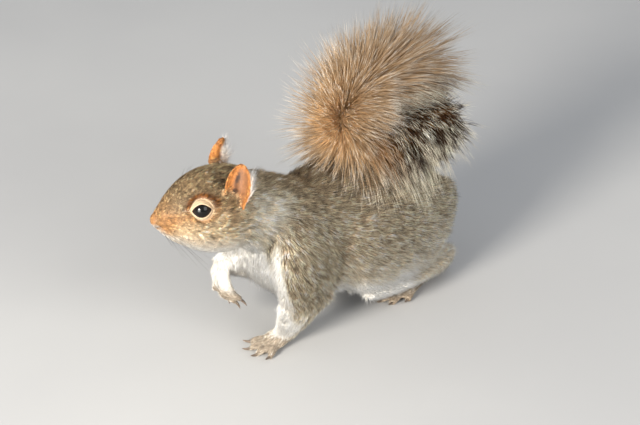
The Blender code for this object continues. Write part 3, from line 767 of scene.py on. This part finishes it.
TOE = hair((122, 102, 80), (164, 142, 116), (200, 182, 156))
SPECKLE_DARK = hair((56, 50, 44), (70, 60, 50), (90, 78, 64))
TAIL_ORANGE = hair((154, 114, 70), (164, 130, 90), (186, 158, 122))
TAIL_BANDED = hair((164, 106, 52), (54, 34, 18), (250, 240, 216))
# Paler, plainer hair for past the fold: partly the tail's own colour, partly painted light on the tail's lit
# top.
TAIL_PALE = hair((154, 118, 78), (160, 134, 104), (218, 208, 194))
TAIL_RUST = hair((140, 90, 40), (150, 100, 50), (188, 150, 106))
# Darker hair for the tail's root by the rump: partly its dark fur, partly painted shade.
TAIL_DARK = hair((40, 30, 22), (30, 22, 16), (70, 56, 42))
# Painted light: a pale root colour for the hairs in the tail's fold, against the shade deep between them.
FOLD_ROOT_PAINTED_LIGHT = colour(228, 186, 138)
# Dark skin for the lids' rims, also used as painted shade in the nostrils, the cleft and along the lips.
DARK_SKIN_AND_SHADE = colour(38, 26, 20)


def painted(colours, marking, share):
    """Hair colours with the marking's three laid over by share."""
    return colours + (marking[None] - colours) * np.asarray(share)[:, None, None]


def markings(points, normals, weight, ear_place):
    """The three hair colours at each point. weight is how much it belongs to each kind of node."""
    back, _, _ = head_frame(points)
    x, y, z = points.T
    nx, ny, nz = normals.T
    near_side, far_side = x > 0, x < 0
    head = share_of(weight, "head", "nose")
    trunk = share_of(weight, "chest", "loin", "rump", "thigh", "neck", "shank")
    arm = share_of(weight, "upper_arm", "forearm")
    drift = noise(points, 9, 3)
    c = np.repeat(GREY[None], len(points), 0)

    def lay(marking, share):
        nonlocal c
        c = painted(c, marking, share)

    # back, flanks, belly and the sides of the neck
    # Darker where the coat faces up: partly the back's own darker hair, partly painted shade on the top of
    # the body.
    lay(BACK, ramp(0.25, 0.95, nz + 0.12 * drift) * trunk)
    # Paler low on the body: partly the flanks' own paler hair, partly painted light.
    lay(RUFF, ramp(60, 24, z + 4 * drift) * trunk * 0.9)
    belly = ramp(34, 25, z + 3 * drift) * ramp(40, 24, y) * ramp(-24, -14, y)
    lay(WHITE, np.maximum(belly, ramp(-0.25, -0.65, nz) * ramp(60, 40, z)) * trunk)
    lay(RUFF, weight["neck"] * ramp(0.85, 0.30, nz) * ramp(52, 72, z) * 0.7)

    # bib and forelegs
    bib_middle = -4 * ramp(50, 72, z)
    bib_half = 9 + 0.40 * (72 - z) + 2.2 * drift
    bib = ramp(2.5, -2.5, np.abs(x - bib_middle) - bib_half) * ramp(0.1, 0.35, -ny - 0.4 * nz)
    bib = bib * ramp(84, 76, z) * ramp(-14, -30, y)
    lay(WHITE, bib * np.clip(trunk + arm, 0, 1))
    front_of_arm = -ny * 0.8 - nx * np.sign(x) * 0.6 + 0.08 * drift
    edge = 0.52 - 0.72 * ramp(62, 16, z)
    lay(WHITE, ramp(edge - 0.12, edge + 0.16, front_of_arm) * arm * near_side)
    # Paler low on the standing arm: partly its own paler hair, partly painted light.
    lay(RUFF, ramp(50, 14, z) * arm * near_side * 0.6 * (1 - bib))
    raised = arm * far_side * ramp(-40, -50, y - 0.3 * (z - 40))
    lay(WHITE, np.clip(raised + weight["forearm"] * far_side, 0, 1) * ramp(-0.75, -0.35, nx))

    # head
    level = z - EYE["left"][2]
    top = ramp(-2.5, 2.5, level - (-4.5 + 0.22 * np.clip(back, 0, 22) + 1.2 * drift))
    lay(CHEEK, head)
    lay(GREY, head * ramp(34, 50, back) * ramp(-22, -8, level) * 0.5)
    lay(CROWN, head * top)
    lay(TAN, head * ramp(17, 8, back + 0.6 * np.abs(level + 5)) * (1 - 0.65 * top))
    lay(TAN, head * bump(15, 7, back) * bump(-4, 4, level) * 0.8 * (1 - top))
    lay(TAN, head * bump(37, 6, back) * ramp(4, -3, level) * ramp(-14, -5, level) * 0.5)
    lay(WHITE, head * ramp(-0.10, -0.75, nz) * 0.85)
    lay(TAN, weight["nose"] * 0.8)
    for side in SIDES:
        outward, along, across = eye_axes(side)
        away = points - EYE[side]
        ahead, high, outer = away @ along, away @ across, away @ outward > 0
        ring = np.hypot((ahead + 0.1) / 6.3, (high - 0.3) / 5.7)
        round_ring = outer * bump(1.27, 0.20, ring)
        lay(BROW, np.clip(1.5 * round_ring * ramp(-2, 3, high), 0, 1))
        lay(TAN, round_ring * ramp(3, -2, high) * 0.8)
        lay(RING, outer * ramp(1.12, 0.92, ring))

    # tail's skin, ears and feet
    # The tail's skin takes the orange hair's colours turned round, palest first: painted light against the
    # shade deep in the tail's hair. Near the rump it takes the back's darker colours.
    lay(TAIL_ORANGE[::-1], weight["tail"])
    lay(BACK, weight["tail"] * ramp(104, 92, z))
    u, v, inner = ear_place.T
    ear = weight["ear"]
    rim = ramp(0.55, 0.95, np.abs(u)) + ramp(0.8, 1.0, v)
    lay(EAR, ear)
    lay(EAR_CUP, ear * inner * ramp(-0.5, 0.1, u) * (1 - np.clip(rim, 0, 1)))
    # Painted shade in the ear's two hollows.
    lay(EAR_SLIT_SHADE, ear_slits(ear_place) * 0.95)
    behind = ear * (1 - inner) * ramp(-0.4, 0.0, u) * ramp(0.92, 0.70, v) * ramp(0.1, 0.25, v)
    lay(WHITE, behind * 0.9)
    lay(FOOT, share_of(weight, "forepaw", "hindpaw"))
    lay(WHITE, weight["forepaw"] * far_side * ramp(28, 38, z) * 0.8)
    lay(TOE, weight["hindpaw"] * ramp(5.5, 3.0, z) * 0.5)
    return c


# ---- lie of the coat

LIE = {
    "neck": (0, 0.95, -0.35), "chest": (0, 0.85, -0.65), "loin": (0, 1, -0.32), "rump": (0, 0.85, -0.6),
    "upper_arm": (0, 0.45, -0.9), "forearm": (0, -0.25, -1), "forepaw": (0, -1, -0.35),
    "thigh": (0, 0.92, -0.42), "shank": (0, 0.2, -1), "hindpaw": (0, -1, -0.2), "tail": (0, 0.6, 0.8),
}
LIE_ROUNDS = 40


def lie_of_coat(skin, kind, measures):
    """The way the hair points over the skin, from the nose backward and down the limbs."""
    way = np.zeros_like(skin.points)
    for name, direction in LIE.items():
        way[is_kind(kind, name)] = unit(np.array(direction, float))
    face = is_kind(kind, "head", "nose")
    from_nose = unit(skin.points - head_point(-6, 0, -2))
    way[face] = unit(from_nose[face] + 0.35 * HEAD_BACK)
    for side, measure in measures.items():
        away = skin.points - EYE[side]
        outward, along, _ = eye_axes(side)
        round_eye = unit(away - outward * (away @ outward)[:, None])
        way = mixed(way, unit(round_eye * 0.8 + along * 0.6), ramp(2.6, 1.4, measure) * 0.75)
    way[is_kind(kind, "ear")] = unit(Z + 0.8 * HEAD_BACK)
    way[is_kind(kind, "chest") & (skin.normals[:, 1] < -0.4)] = unit(np.array([0, 0.2, -1.0]))
    for _ in range(LIE_ROUNDS):
        way = mixed(way, skin.around(way), np.full(len(way), 0.7))
        way -= skin.normals * dot(way, skin.normals)[:, None]
        way = unit(way)
    return way


# ---- tufts

PATCH = 0.003  # how wide a tuft's patch is on the map that is baked
LOWEST = 0.45  # no tuft comes nearer to the floor


def tuft_loops(segments):
    """One tuft's side faces, tip and foot as lists of corners, with each corner's place on the patch."""
    order = (0, 2, 1)
    corners, starts, places = [], [], []
    for k in range(segments):
        low, high = k / segments, (k + 1) / segments
        for i in range(3):
            a, b = order[i], order[(i + 1) % 3]
            starts.append(len(corners))
            corners += [3 * k + a, 3 * k + b]
            places += [(i / 3, low), ((i + 1) / 3, low)]
            if k < segments - 1:
                corners += [3 * k + 3 + b, 3 * k + 3 + a]
                places += [((i + 1) / 3, high), (i / 3, high)]
            else:
                corners.append(3 * segments)
                places.append(((i + 0.5) / 3, high))
    starts.append(len(corners))
    corners += [0, 1, 2]
    places += [(0.3, 0.0), (0.7, 0.0), (0.5, -0.12)]
    return np.array(corners), np.array(starts), np.array(places)


def tuft_object(name, stations, up, half_widths, thickness, colours, uv):
    """Closed three-sided hairs. stations is (tufts, points along each, 3); the last point is the tip.

    thickness is the share of the half width by which each stands up.
    """
    count, rows, _ = stations.shape
    segments = rows - 1
    stations[:, :, 2] = np.maximum(stations[:, :, 2], LOWEST)
    ahead = unit(np.gradient(stations, axis=1))
    side = unit(np.cross(ahead, up[:, None, :]))
    lift = np.cross(side, ahead)
    feet, side, lift = stations[:, :-1], side[:, :-1], lift[:, :-1]
    width, thick = half_widths[:, :, None], (half_widths * thickness)[:, :, None]
    ring = np.stack([feet - side * width, feet + side * width, feet + lift * thick], 2)
    points = np.concatenate([ring.reshape(count, segments * 3, 3), stations[:, -1:]], 1).reshape(-1, 3)
    per = segments * 3 + 1
    corners, starts, places = tuft_loops(segments)
    tufts = np.arange(count)[:, None]
    mesh = bpy.data.meshes.new(name)
    mesh.vertices.add(len(points))
    set_points(mesh, points)
    mesh.loops.add(count * len(corners))
    mesh.loops.foreach_set("vertex_index", (corners + per * tufts).ravel().astype(np.int32))
    mesh.polygons.add(count * len(starts))
    mesh.polygons.foreach_set("loop_start", (starts + len(corners) * tufts).ravel().astype(np.int32))
    mesh.polygons.foreach_set("use_smooth", np.ones(count * len(starts), bool))
    mesh.update(calc_edges=True)
    if uv is not None:
        layer = mesh.uv_layers.new(name="OFBake")
        spots = np.clip(uv, 0.004, 0.996)[:, None, :] + (places - (0.5, 0.5)) * PATCH
        layer.data.foreach_set("uv", spots.astype(np.float32).ravel())
    along = np.concatenate([np.repeat(np.arange(segments) / segments, 3), [1.0]])
    point_values(mesh, "fur_along", np.tile(along, count))
    for index, word in enumerate(("root", "mid", "tip")):
        point_values(mesh, "fur_" + word, np.repeat(np.clip(colours[:, index], 0, 1), per, 0))
    return placed(name, mesh)


def unwrapped(points, triangles):
    """An unwrap of these skin faces: for every triangle its three corners on the map."""
    used, inverse = np.unique(triangles, return_inverse=True)
    sheet = mesh_object("unwrap", points[used], inverse.reshape(-1, 3))
    bpy.context.view_layer.objects.active = sheet
    sheet.select_set(True)
    bpy.ops.object.mode_set(mode="EDIT")
    bpy.ops.mesh.select_all(action="SELECT")
    bpy.ops.uv.smart_project(angle_limit=math.radians(66), island_margin=0.004, scale_to_bounds=True)
    bpy.ops.object.mode_set(mode="OBJECT")
    flat = np.empty(len(sheet.data.loops) * 2)
    sheet.data.uv_layers.active.data.foreach_get("uv", flat)
    bpy.data.objects.remove(sheet)
    return flat.reshape(-1, 3, 2)


def scattered(skin, chosen, count, density, rng):
    """Roots spread evenly by density over the chosen triangles: triangle numbers and corner weights."""
    corners = skin.points[skin.triangles[chosen]]
    cross = np.cross(corners[:, 1] - corners[:, 0], corners[:, 2] - corners[:, 0])
    area = np.linalg.norm(cross, axis=1) / 2
    total = np.cumsum(area * density[skin.triangles[chosen]].mean(1))
    picks = (np.arange(count) + rng.random(count)) / count * total[-1]
    number = np.minimum(np.searchsorted(total, picks), len(chosen) - 1)
    r, s = np.sqrt(rng.random(count)), rng.random(count)
    return number, np.stack([1 - r, r * (1 - s), r * s], 1)


def clump_shift(roots, cell, seed):
    """From each root to the middle of the lock that it belongs to, and the lock's number."""
    wobble = noise_way(roots, cell * 2.2, seed) * cell * 0.6
    key = np.floor((roots + wobble) / cell).astype(np.int64)
    _, group = np.unique(key, axis=0, return_inverse=True)
    group = group.ravel()
    size = np.bincount(group)
    middle_of = np.stack([np.bincount(group, roots[:, i]) / size for i in range(3)], 1)
    return middle_of[group] - roots, group


def coat_piece(name, skin, fields, chosen, count, seed):
    """One piece of coat over the chosen triangles of the skin."""
    rng = np.random.default_rng(seed)
    number, corner = scattered(skin, chosen, count, fields["density"], rng)
    ids = skin.triangles[chosen][number]

    def at(values):
        picked = values[ids]
        return (picked * corner.reshape(corner.shape + (1,) * (picked.ndim - 2))).sum(1)

    # where each tuft starts, how long it is and which way it lies
    roots, up, lie = at(skin.points), unit(at(skin.normals)), at(fields["lie"])
    length = at(fields["length"]) * rng.normal(1, 0.13, count).clip(0.6, 1.4)
    width = at(fields["width"]) * rng.normal(1, 0.15, count).clip(0.6, 1.4)
    lift, soft = at(fields["lift"]), at(fields["soft"])
    sway = noise_way(roots, 6, seed) * (0.22 * soft)[:, None]
    sway += rng.normal(0, 0.13, (count, 3)) * soft[:, None]
    lie = unit(lie + sway)
    lie = unit(lie - up * dot(lie, up)[:, None])
    rise = lift + rng.normal(0, 0.07, count) + 0.10 * soft * noise(roots, 5, seed + 9)
    late = rise - at(fields["settle"])
    first, second = [lie * np.cos(a)[:, None] + up * np.sin(a)[:, None] for a in (rise, late)]

    # the pull towards the middle of its lock
    shift, clump = clump_shift(roots, at(fields["clump"]).mean(), seed)
    shift -= up * dot(shift, up)[:, None]
    pull = (0.40 * soft)[:, None]
    size = np.exp(rng.normal(0, 0.14, clump.max() + 1))[clump]
    start = roots - up * (0.05 * length)[:, None]
    length = length * size
    mid = start + first * (length * 0.48)[:, None] + shift * pull * 0.45
    tip = mid + second * (length * 0.52)[:, None] + shift * pull * 0.55

    # its colours, with single dark tufts and the grain of the coat
    colours = at(fields["colours"])
    dark = rng.random(count) < at(fields["speckle"])
    colours = painted(colours, SPECKLE_DARK, 0.8 * dark)
    grain = 0.40 * noise(roots, at(fields["grain"])[:, None], seed + 21) + 0.08 * noise(roots, 5, seed + 22)
    grain = grain + rng.normal(0, 0.30, clump.max() + 1)[clump]
    tone = np.exp(rng.normal(0, 0.14, count) + grain * at(fields["tone"]))
    colours = colours * tone[:, None, None]
    uv = (unwrapped(skin.points, skin.triangles[chosen])[number] * corner[:, :, None]).sum(1)
    made = tuft_object(name, np.stack([start, tip], 1), up, width[:, None], 0.55, colours, uv)
    shown(made, FUR)


# ---- tail hair

# Along the core from the rump to its end: share of the way, hair length at the sides, on the fold's outer and
# inner side, how far the side hair hangs down, and its lean towards the tip.
TAIL_HAIR = np.array([
    (0.00, 14, 20, 14, 3, 0.5), (0.11, 25, 28, 20, 10, 0.3), (0.20, 37, 24, 22, 20, 0.12),
    (0.30, 45, 20, 20, 27, 0.08), (0.40, 47, 24, 17, 30, 0.08), (0.48, 46, 29, 14, 30, 0.12),
    (0.54, 44, 35, 13, 24, 0.15), (0.60, 43, 40, 13, 16, 0.22), (0.66, 42, 42, 13, 12, 0.3),
    (0.74, 42, 44, 14, 10, 0.35), (0.83, 42, 44, 16, 9, 0.5), (0.92, 44, 45, 20, 9, 0.8),
    (1.00, 50, 50, 38, 8, 1.6),
])
TAIL_STEPS = (0.0, 0.36, 0.70, 1.0)  # where along a tail hair its points lie
TAIL_CUTS = (0.03, 0.36, 0.58, 0.76, 1.0)  # the shares of the core between which each piece is rooted
TAIL_COUNTS = (6600, 8800, 7800, 7600)
HAIRS_TO_LOCK = 7
LOWEST_TURN = 0.95  # radians: over the back no hair points straight down
TAIL_HALF_WIDTH = 0.135


def tail_hairs(low, high, count, rng):
    """Hairs rooted between two shares of the core: their points, root shares, turns round it and kind."""
    line = tail_line(400)
    shares = np.linspace(0, 1, len(line))
    tangents = unit(np.gradient(line, axis=0))
    weight = np.interp(shares, TAIL_HAIR[:, 0], TAIL_HAIR[:, 1] + 12) * (1 - 0.55 * ramp(0.86, 1.0, shares))
    inside = (shares >= low) & (shares <= high)
    run = np.cumsum(weight * inside)
    place = np.interp((np.arange(count) + rng.random(count)) / count * run[-1], run[inside], shares[inside])
    turn = rng.uniform(-math.pi, math.pi, count)
    least = LOWEST_TURN * (ramp(0.50, 0.40, place) * ramp(0.08, 0.22, place))
    turn = np.sign(turn) * (least + np.abs(turn) * (1 - least / math.pi))
    turn += 0.22 * np.sin(turn) * ramp(0.6, 0.66, place)

    def at(column):
        return np.interp(place, TAIL_HAIR[:, 0], TAIL_HAIR[:, column])

    root = np.stack([np.interp(place, shares, line[:, i]) for i in range(3)], 1)
    ahead = unit(np.stack([np.interp(place, shares, tangents[:, i]) for i in range(3)], 1))
    outer = np.cross(X, ahead)
    c, s = np.cos(turn), np.sin(turn)
    sides = at(1)
    reach = sides + (at(2) - sides) * np.clip(c, 0, 1) ** 1.5 + (at(3) - sides) * np.clip(-c, 0, 1) ** 1.5
    reach = reach * (0.98 - 0.42 * rng.random(count) ** 1.3) * rng.normal(1, 0.05, count)
    at_fold = bump(TAIL_FOLD, 0.07, place)
    under = rng.random(count) < 0.26 + 0.42 * at_fold
    reach = np.where(under, reach * rng.uniform(0.40 - 0.15 * at_fold, 0.75, count), reach)
    way = X * s[:, None] + outer * c[:, None]
    root = root + way * 2.0
    sway = noise_way(root + way * 12, 8, 31) * 0.20
    sway += rng.normal(0, 0.11, (count, 3)) * (1 + 1.3 * bump(TAIL_FOLD, 0.10, place))[:, None]
    way = unit(way + ahead * (at(5) + 0.10 * rng.normal(0, 1, count))[:, None] + sway)
    stations = []
    for along in TAIL_STEPS:
        spot = root + way * (reach * along)[:, None] + ahead * (reach * 0.10 * along**2)[:, None]
        spot[:, 2] -= at(4) * s**2 * along**1.7 * reach / sides
        stations.append(spot)
    return np.stack(stations, 1), place, turn, under


def gathered_locks(stations, hold, rng):
    """Draws the tips of neighbouring hairs into pointed locks, each with its own length and lean."""
    count = len(stations)
    leaders = rng.choice(count, count // HAIRS_TO_LOCK, replace=False)
    half_way = stations[:, 1] * 0.6 + stations[:, 2] * 0.4
    lock = nearest(half_way[leaders], half_way)
    guide = stations[leaders].copy()
    foot = guide[:, :1]
    stretch = rng.normal(0.98, 0.14, len(leaders)).clip(0.70, 1.18)
    guide = foot + (guide - foot) * stretch[:, None, None]
    lean = rng.normal(0, 2.4, (len(leaders), 3))
    bend = rng.normal(0, 1.5, (count, 3))
    pull = rng.uniform(0.20, 0.62, count) + hold
    for k, along in enumerate(TAIL_STEPS):
        wanted = guide[lock, k] + lean[lock] * along**2
        stations[:, k] += (wanted - stations[:, k]) * (pull * along**1.3)[:, None] + bend * along**2
    return stations, lock


def tree_of(points, triangles):
    return BVHTree.FromPolygons(points.tolist(), triangles.tolist())


def cleared(points, tree, gap):
    """The points, with those that lie in or close to the body moved out to the gap."""
    moved = points.copy()
    for i, point in enumerate(points):
        spot, normal, _, _ = tree.find_nearest(Vector(point), 14)
        if spot is not None and (Vector(point) - spot).dot(normal) < gap[i]:
            moved[i] = np.array(spot + normal * gap[i])
    return moved


def tail_colours(place, turn, under):
    """Banded hair over the back, paler and plainer past the fold (partly painted light), and orange hair
    under it all.
    """
    low_side = ramp(0.35, -0.3, np.cos(turn))
    # Past the fold the hair is paler and plainer: partly the tail's own colour, partly painted light.
    banded = np.clip(ramp(0.61, 0.49, place) + 0.55 * ramp(0.69, 0.80, place) * low_side, 0, 1)
    colours = TAIL_PALE[None] + (TAIL_BANDED - TAIL_PALE)[None] * banded[:, None, None]
    colours = painted(colours, TAIL_RUST, 0.75 * bump(0.53, 0.05, place) * low_side)
    colours[:, 2] = mixed(colours[:, 2], TAIL_BANDED[2], ramp(0.70, 0.80, place) * low_side)
    colours = np.where(under[:, None, None], TAIL_ORANGE[None], colours)
    # Painted light: the roots of the hairs in the fold are lightened against the shade deep between them.
    colours[:, 0] = mixed(colours[:, 0], FOLD_ROOT_PAINTED_LIGHT, bump(0.63, 0.09, place))
    # Darker towards the root, where the tail rises from the rump: partly dark fur, partly painted shade.
    return painted(colours, TAIL_DARK, ramp(0.20, 0.05, place) * 0.6)


def tail_pieces():
    """The tail's hair, one piece for each stretch of it."""
    tree = tree_of(*joined([node_shell(n) for n in ("loin", "rump", "chest", "thigh_left", "thigh_right")]))
    for index, (low, high, count) in enumerate(zip(TAIL_CUTS, TAIL_CUTS[1:], TAIL_COUNTS)):
        rng = np.random.default_rng(100 + index)
        stations, place, turn, under = tail_hairs(low, high, count, rng)
        stations, lock = gathered_locks(stations, 0.24 * ramp(0.60, 0.50, place), rng)
        gap = rng.uniform(0.5, 3.0, count)
        if low < 0.7:
            for k in (1, 2, 3):
                stations[:, k] = cleared(stations[:, k], tree, gap * k / 3)
        width = rng.normal(TAIL_HALF_WIDTH, 0.022, count).clip(0.08, 0.20)
        half_widths = np.stack([width, width, width * 0.72], 1)
        up = np.cross(unit(stations[:, -1] - stations[:, 0]), unit(rng.normal(0, 1, (count, 3))))
        lock_tone = rng.normal(0, 0.08, lock.max() + 1)[lock]
        tone = np.exp(rng.normal(0, 0.10, count) + lock_tone)
        colours = tail_colours(place, turn, under) * tone[:, None, None]
        uv = np.stack([(place - low) / (high - low), (turn + math.pi) / (2 * math.pi)], 1)
        made = tuft_object(f"tail_fur_{index + 1}", stations, unit(up), half_widths, 1, colours, uv)
        shown(made, TAIL_FUR)


# ---- whiskers, eyes and claws

WHISKER_STEPS, WHISKER_HALF_WIDTH = 6, 0.075
WHISKER_BEND = HEAD_BACK * 0.16 - Z * 0.20
EYE_ROWS, EYE_COLUMNS = 32, 48


def add_whiskers(skin):
    """Dark bristles in rows on both sides of the muzzle, and a few above each eye."""
    rng = np.random.default_rng(77)
    tree = tree_of(skin.points, skin.triangles)
    roots, ways, lengths = [], [], []
    for sign in SIDES.values():
        for row, place in itertools.product(range(4), range(4)):
            roots.append(head_point(4.5 + 2.5 * place, sign * (5 + place), -4.6 - 1.5 * row - 0.5 * place))
            ways.append(HEAD_LEFT * sign * 0.75 + HEAD_BACK * (0.60 + 0.1 * place) - Z * (0.20 + 0.20 * row))
            lengths.append(9 + 4.0 * place + rng.uniform(-2, 2))
        for k in range(3):
            roots.append(head_point(20 + 2 * k, sign * 9, 16 - 0.5 * k))
            ways.append(HEAD_LEFT * sign * 0.6 + HEAD_BACK * 0.5 + Z * (0.6 - 0.1 * k))
            lengths.append(8 + 1.5 * k)
    stations, ups = [], []
    steps = np.linspace(0, 1, WHISKER_STEPS + 1)[:, None]
    for root, way, length in zip(roots, ways, lengths):
        spot, normal, _, _ = tree.find_nearest(Vector(root))
        way = unit(way + rng.normal(0, 0.07, 3) + np.array(normal) * 0.25)
        stations.append(np.array(spot) - way * 0.4 + way * length * steps + WHISKER_BEND * length * steps**2)
        ups.append(np.cross(way, HEAD_BACK))
    count = len(stations)
    taper = np.linspace(1, 0.35, WHISKER_STEPS)[None] * np.full((count, 1), WHISKER_HALF_WIDTH)
    plain = np.ones((count, 3, 3))
    made = tuft_object("whiskers", np.array(stations), unit(np.array(ups)), taper, 1, plain, None)
    shown(made, whisker_material())


def add_eye(side, material):
    """A ball whose eye_ring runs from 0 at the pupil's middle to 2 at the back."""
    outward, _, _ = eye_axes(side)
    a = unit(np.cross(outward, Z))
    b = np.cross(outward, a)
    points, faces = [], []
    for r, k in itertools.product(range(EYE_ROWS + 1), range(EYE_COLUMNS)):
        polar, turn = math.pi * r / EYE_ROWS, 2 * math.pi * k / EYE_COLUMNS
        ring = (a * math.cos(turn) + b * math.sin(turn)) * max(math.sin(polar), 1e-4)
        points.append(EYE[side] + EYE_RADIUS * (outward * math.cos(polar) + ring))
    last = EYE_ROWS * EYE_COLUMNS
    for start in range(0, last, EYE_COLUMNS):
        for k in range(EYE_COLUMNS):
            p, q = start + k, start + (k + 1) % EYE_COLUMNS
            faces.append((p, p + EYE_COLUMNS, q + EYE_COLUMNS, q))
    faces.append(list(range(EYE_COLUMNS)))
    faces.append([last + k for k in reversed(range(EYE_COLUMNS))])
    ball = mesh_object(f"eyeball_{side}", points, faces)
    point_values(ball.data, "eye_ring", np.repeat(np.arange(EYE_ROWS + 1) / EYE_ROWS * 2, EYE_COLUMNS))
    shown(ball, material)
    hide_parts("eye_" + side)


def paint_claws():
    horn = claw_material()
    for name in CLAWS:
        NODES[name].data.materials.clear()
        NODES[name].data.materials.append(horn)


# ---- making it all

FUR = fur_material("fur", (0.12, 0.30), (0.44, 0.62))
TAIL_FUR = fur_material("tail_fur", (0.36, 0.50), (0.74, 0.86))
BROAD = ("head", "neck", "chest", "upper_arm")  # kinds whose markings fade into the next over a longer way
# Coat pieces: the kinds of node, the side or 0, the number of tufts and the slot.
COAT = {
    "face_fur": (("head", "nose"), 0, 40000, "coat_face"),
    "crown_fur": (("head", "nose"), 0, 26000, "coat_face"),
    "ear_fur": (("ear",), 0, 9000, "ear_skin"),
    "neck_fur": (("neck",), 0, 20000, "coat_grey"),
    "chest_fur": (("chest",), 0, 20000, "coat_grey"),
    "back_fur": (("loin", "rump", "tail"), 0, 24000, "coat_grey"),
    "arm_fur_left": (("upper_arm", "forearm"), 1, 17000, "coat_grey"),
    "arm_fur_right": (("upper_arm", "forearm"), -1, 15000, "coat_grey"),
    "thigh_fur_left": (("thigh", "shank"), 1, 33000, "coat_grey"),
    "thigh_fur_right": (("thigh", "shank"), -1, 30000, "coat_grey"),
    "paw_fur": (("forepaw", "hindpaw"), 0, 10000, "coat_white"),
}
CROWN_START = 30  # how far behind the nose the crown's piece of coat begins


def skin_piece(whole, skin, colours, measures, dark):
    set_points(whole, skin.points)
    whole.name = "skin"
    body = placed("skin", whole)
    whole.update()
    # The lids' rims take dark skin, and dark adds the painted shade of the nostrils, the cleft and the lips.
    lid_rim = sum(ramp(1.05, 1.0, m) for m in measures.values())
    shades = colours[:, 0] * 0.35 + colours[:, 1] * 0.65
    point_values(whole, "skin_colour", mixed(shades, DARK_SKIN_AND_SHADE, np.clip(lid_rim + dark, 0, 1)))
    whole.materials.clear()
    shown(body, skin_material())
    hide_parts(*FLESH, *TAIL)


def coat_fields(skin, kind, weight, ear_place, measures, dark, colours):
    """What the coat is like at each point of the skin, and where the skin stays bare."""
    back, _, _ = head_frame(skin.points)
    head, ear = weight["head"] + weight["nose"], weight["ear"]
    paw, limb = share_of(weight, "forepaw", "hindpaw"), share_of(weight, "forearm", "shank")
    low_arm = ramp(54, 24, skin.points[:, 2]) * weight["upper_arm"]
    u, v, inner = ear_place.T
    ear_back = (1 - inner) * ramp(-0.3, 0.1, u) * ramp(0.9, 0.5, v) * ramp(0.1, 0.3, v)
    near_eye = np.minimum(*measures.values())
    round_eye = ramp(2.5, 1.5, near_eye)
    by_ear = np.clip(4 * skin.spread(is_kind(kind, "ear").astype(float), 60), 0, 1) * is_kind(kind, "head")
    length = np.full(len(skin.points), 6.8)
    for wanted, share in ((1.1 + 3.1 * ramp(2, 46, back), head), (4.0, limb), (4.4, low_arm),
                          (0.9 + 8.6 * ear_back, ear), (2.4, paw)):
        length = length + (wanted - length) * share
    width = (0.07 + 0.010 * length) * (1 - 0.45 * round_eye)
    length = length * (1 - 0.6 * by_ear)
    length = length * (1 - 0.74 * round_eye)
    # Bare round the eyes, and where shade is painted at the nostrils, the cleft and the lips.
    bald = np.clip(ramp(1.55, 1.30, near_eye) + dark, 0, 1)
    for share in (0.8 * inner * ramp(0.75, 0.6, np.abs(u)), ramp(-0.5, -0.8, skin.normals[:, 2]) * paw,
                  is_kind(kind, "tail") * 0.6):
        bald = np.maximum(bald, share)
    brightness = colours[:, 1].mean(1)
    fields = {
        "lie": lie_of_coat(skin, kind, measures), "length": length, "width": width, "colours": colours,
        "density": (1 / np.maximum(length, 2.6) ** 0.85) * (1 - bald) * (1 + 1.5 * round_eye),
        "lift": 0.50 - 0.20 * head - 0.16 * ear - 0.16 * paw - 0.14 * round_eye,
        "settle": 0.24 - 0.1 * head - 0.1 * ear,
        "soft": np.clip(1 - 0.6 * head - 0.5 * paw - 0.4 * ear, 0.25, 1) * 0.8,
        "speckle": 0.30 * (1 - np.clip(brightness * 2.6 - 0.3, 0, 1)),
        "grain": 0.9 + 0.06 * length,
        "tone": (1 - 0.8 * ramp(0.36, 0.66, brightness)) * (1.3 + 0.2 * head),
        "clump": 1.7 - 0.5 * head - 0.4 * paw - 0.3 * ear,
    }
    return fields, bald


def coat_pieces(skin, kind, fields, bald):
    corner = skin.triangles[:, 0]
    clear = bald[skin.triangles].mean(1) < 0.9
    on_crown = head_frame(skin.points)[0][corner] >= CROWN_START
    for index, (name, (names, side, count, slot)) in enumerate(COAT.items()):
        inside = is_kind(kind[corner], *names) & clear
        if side:
            inside &= skin.points[corner, 0] * side > 0
        if names[0] == "head":
            inside &= on_crown == (name == "crown_fur")
        coat_piece(name, skin, fields, np.flatnonzero(inside), count, 11 + 7 * index)


def main():
    ears = {side: ear_leaf(side) for side in SIDES}
    whole, skin, kind = made_skin(ears)
    ear_place = ear_places(skin, kind, ears)
    shaped_skin(skin, kind)
    skin.points -= skin.normals * (0.15 * ear_slits(ear_place))[:, None]
    skin, origin = finer_lids(whole, skin)
    kind, ear_place = kind[origin], ear_place[origin]
    measures = {side: sculpt_eye(skin, side) for side in SIDES}
    # dark is the painted shade in the nostrils, the cleft and along the lips.
    dark = sculpt_face(skin)
    skin.refresh()
    weight = {n: skin.spread(is_kind(kind, n).astype(float), 70 if n in BROAD else 12) for n in KINDS}
    colours = markings(skin.points, skin.normals, weight, ear_place)
    skin_piece(whole, skin, colours, measures, dark)
    fields, bald = coat_fields(skin, kind, weight, ear_place, measures, dark, colours)
    coat_pieces(skin, kind, fields, bald)
    tail_pieces()
    add_whiskers(skin)
    eye_gloss = eye_material()
    for side in SIDES:
        add_eye(side, eye_gloss)
    paint_claws()
    add_camera()
    add_lights()
    add_floor()
    bpy.context.scene.view_settings.view_transform = "Standard"


main()
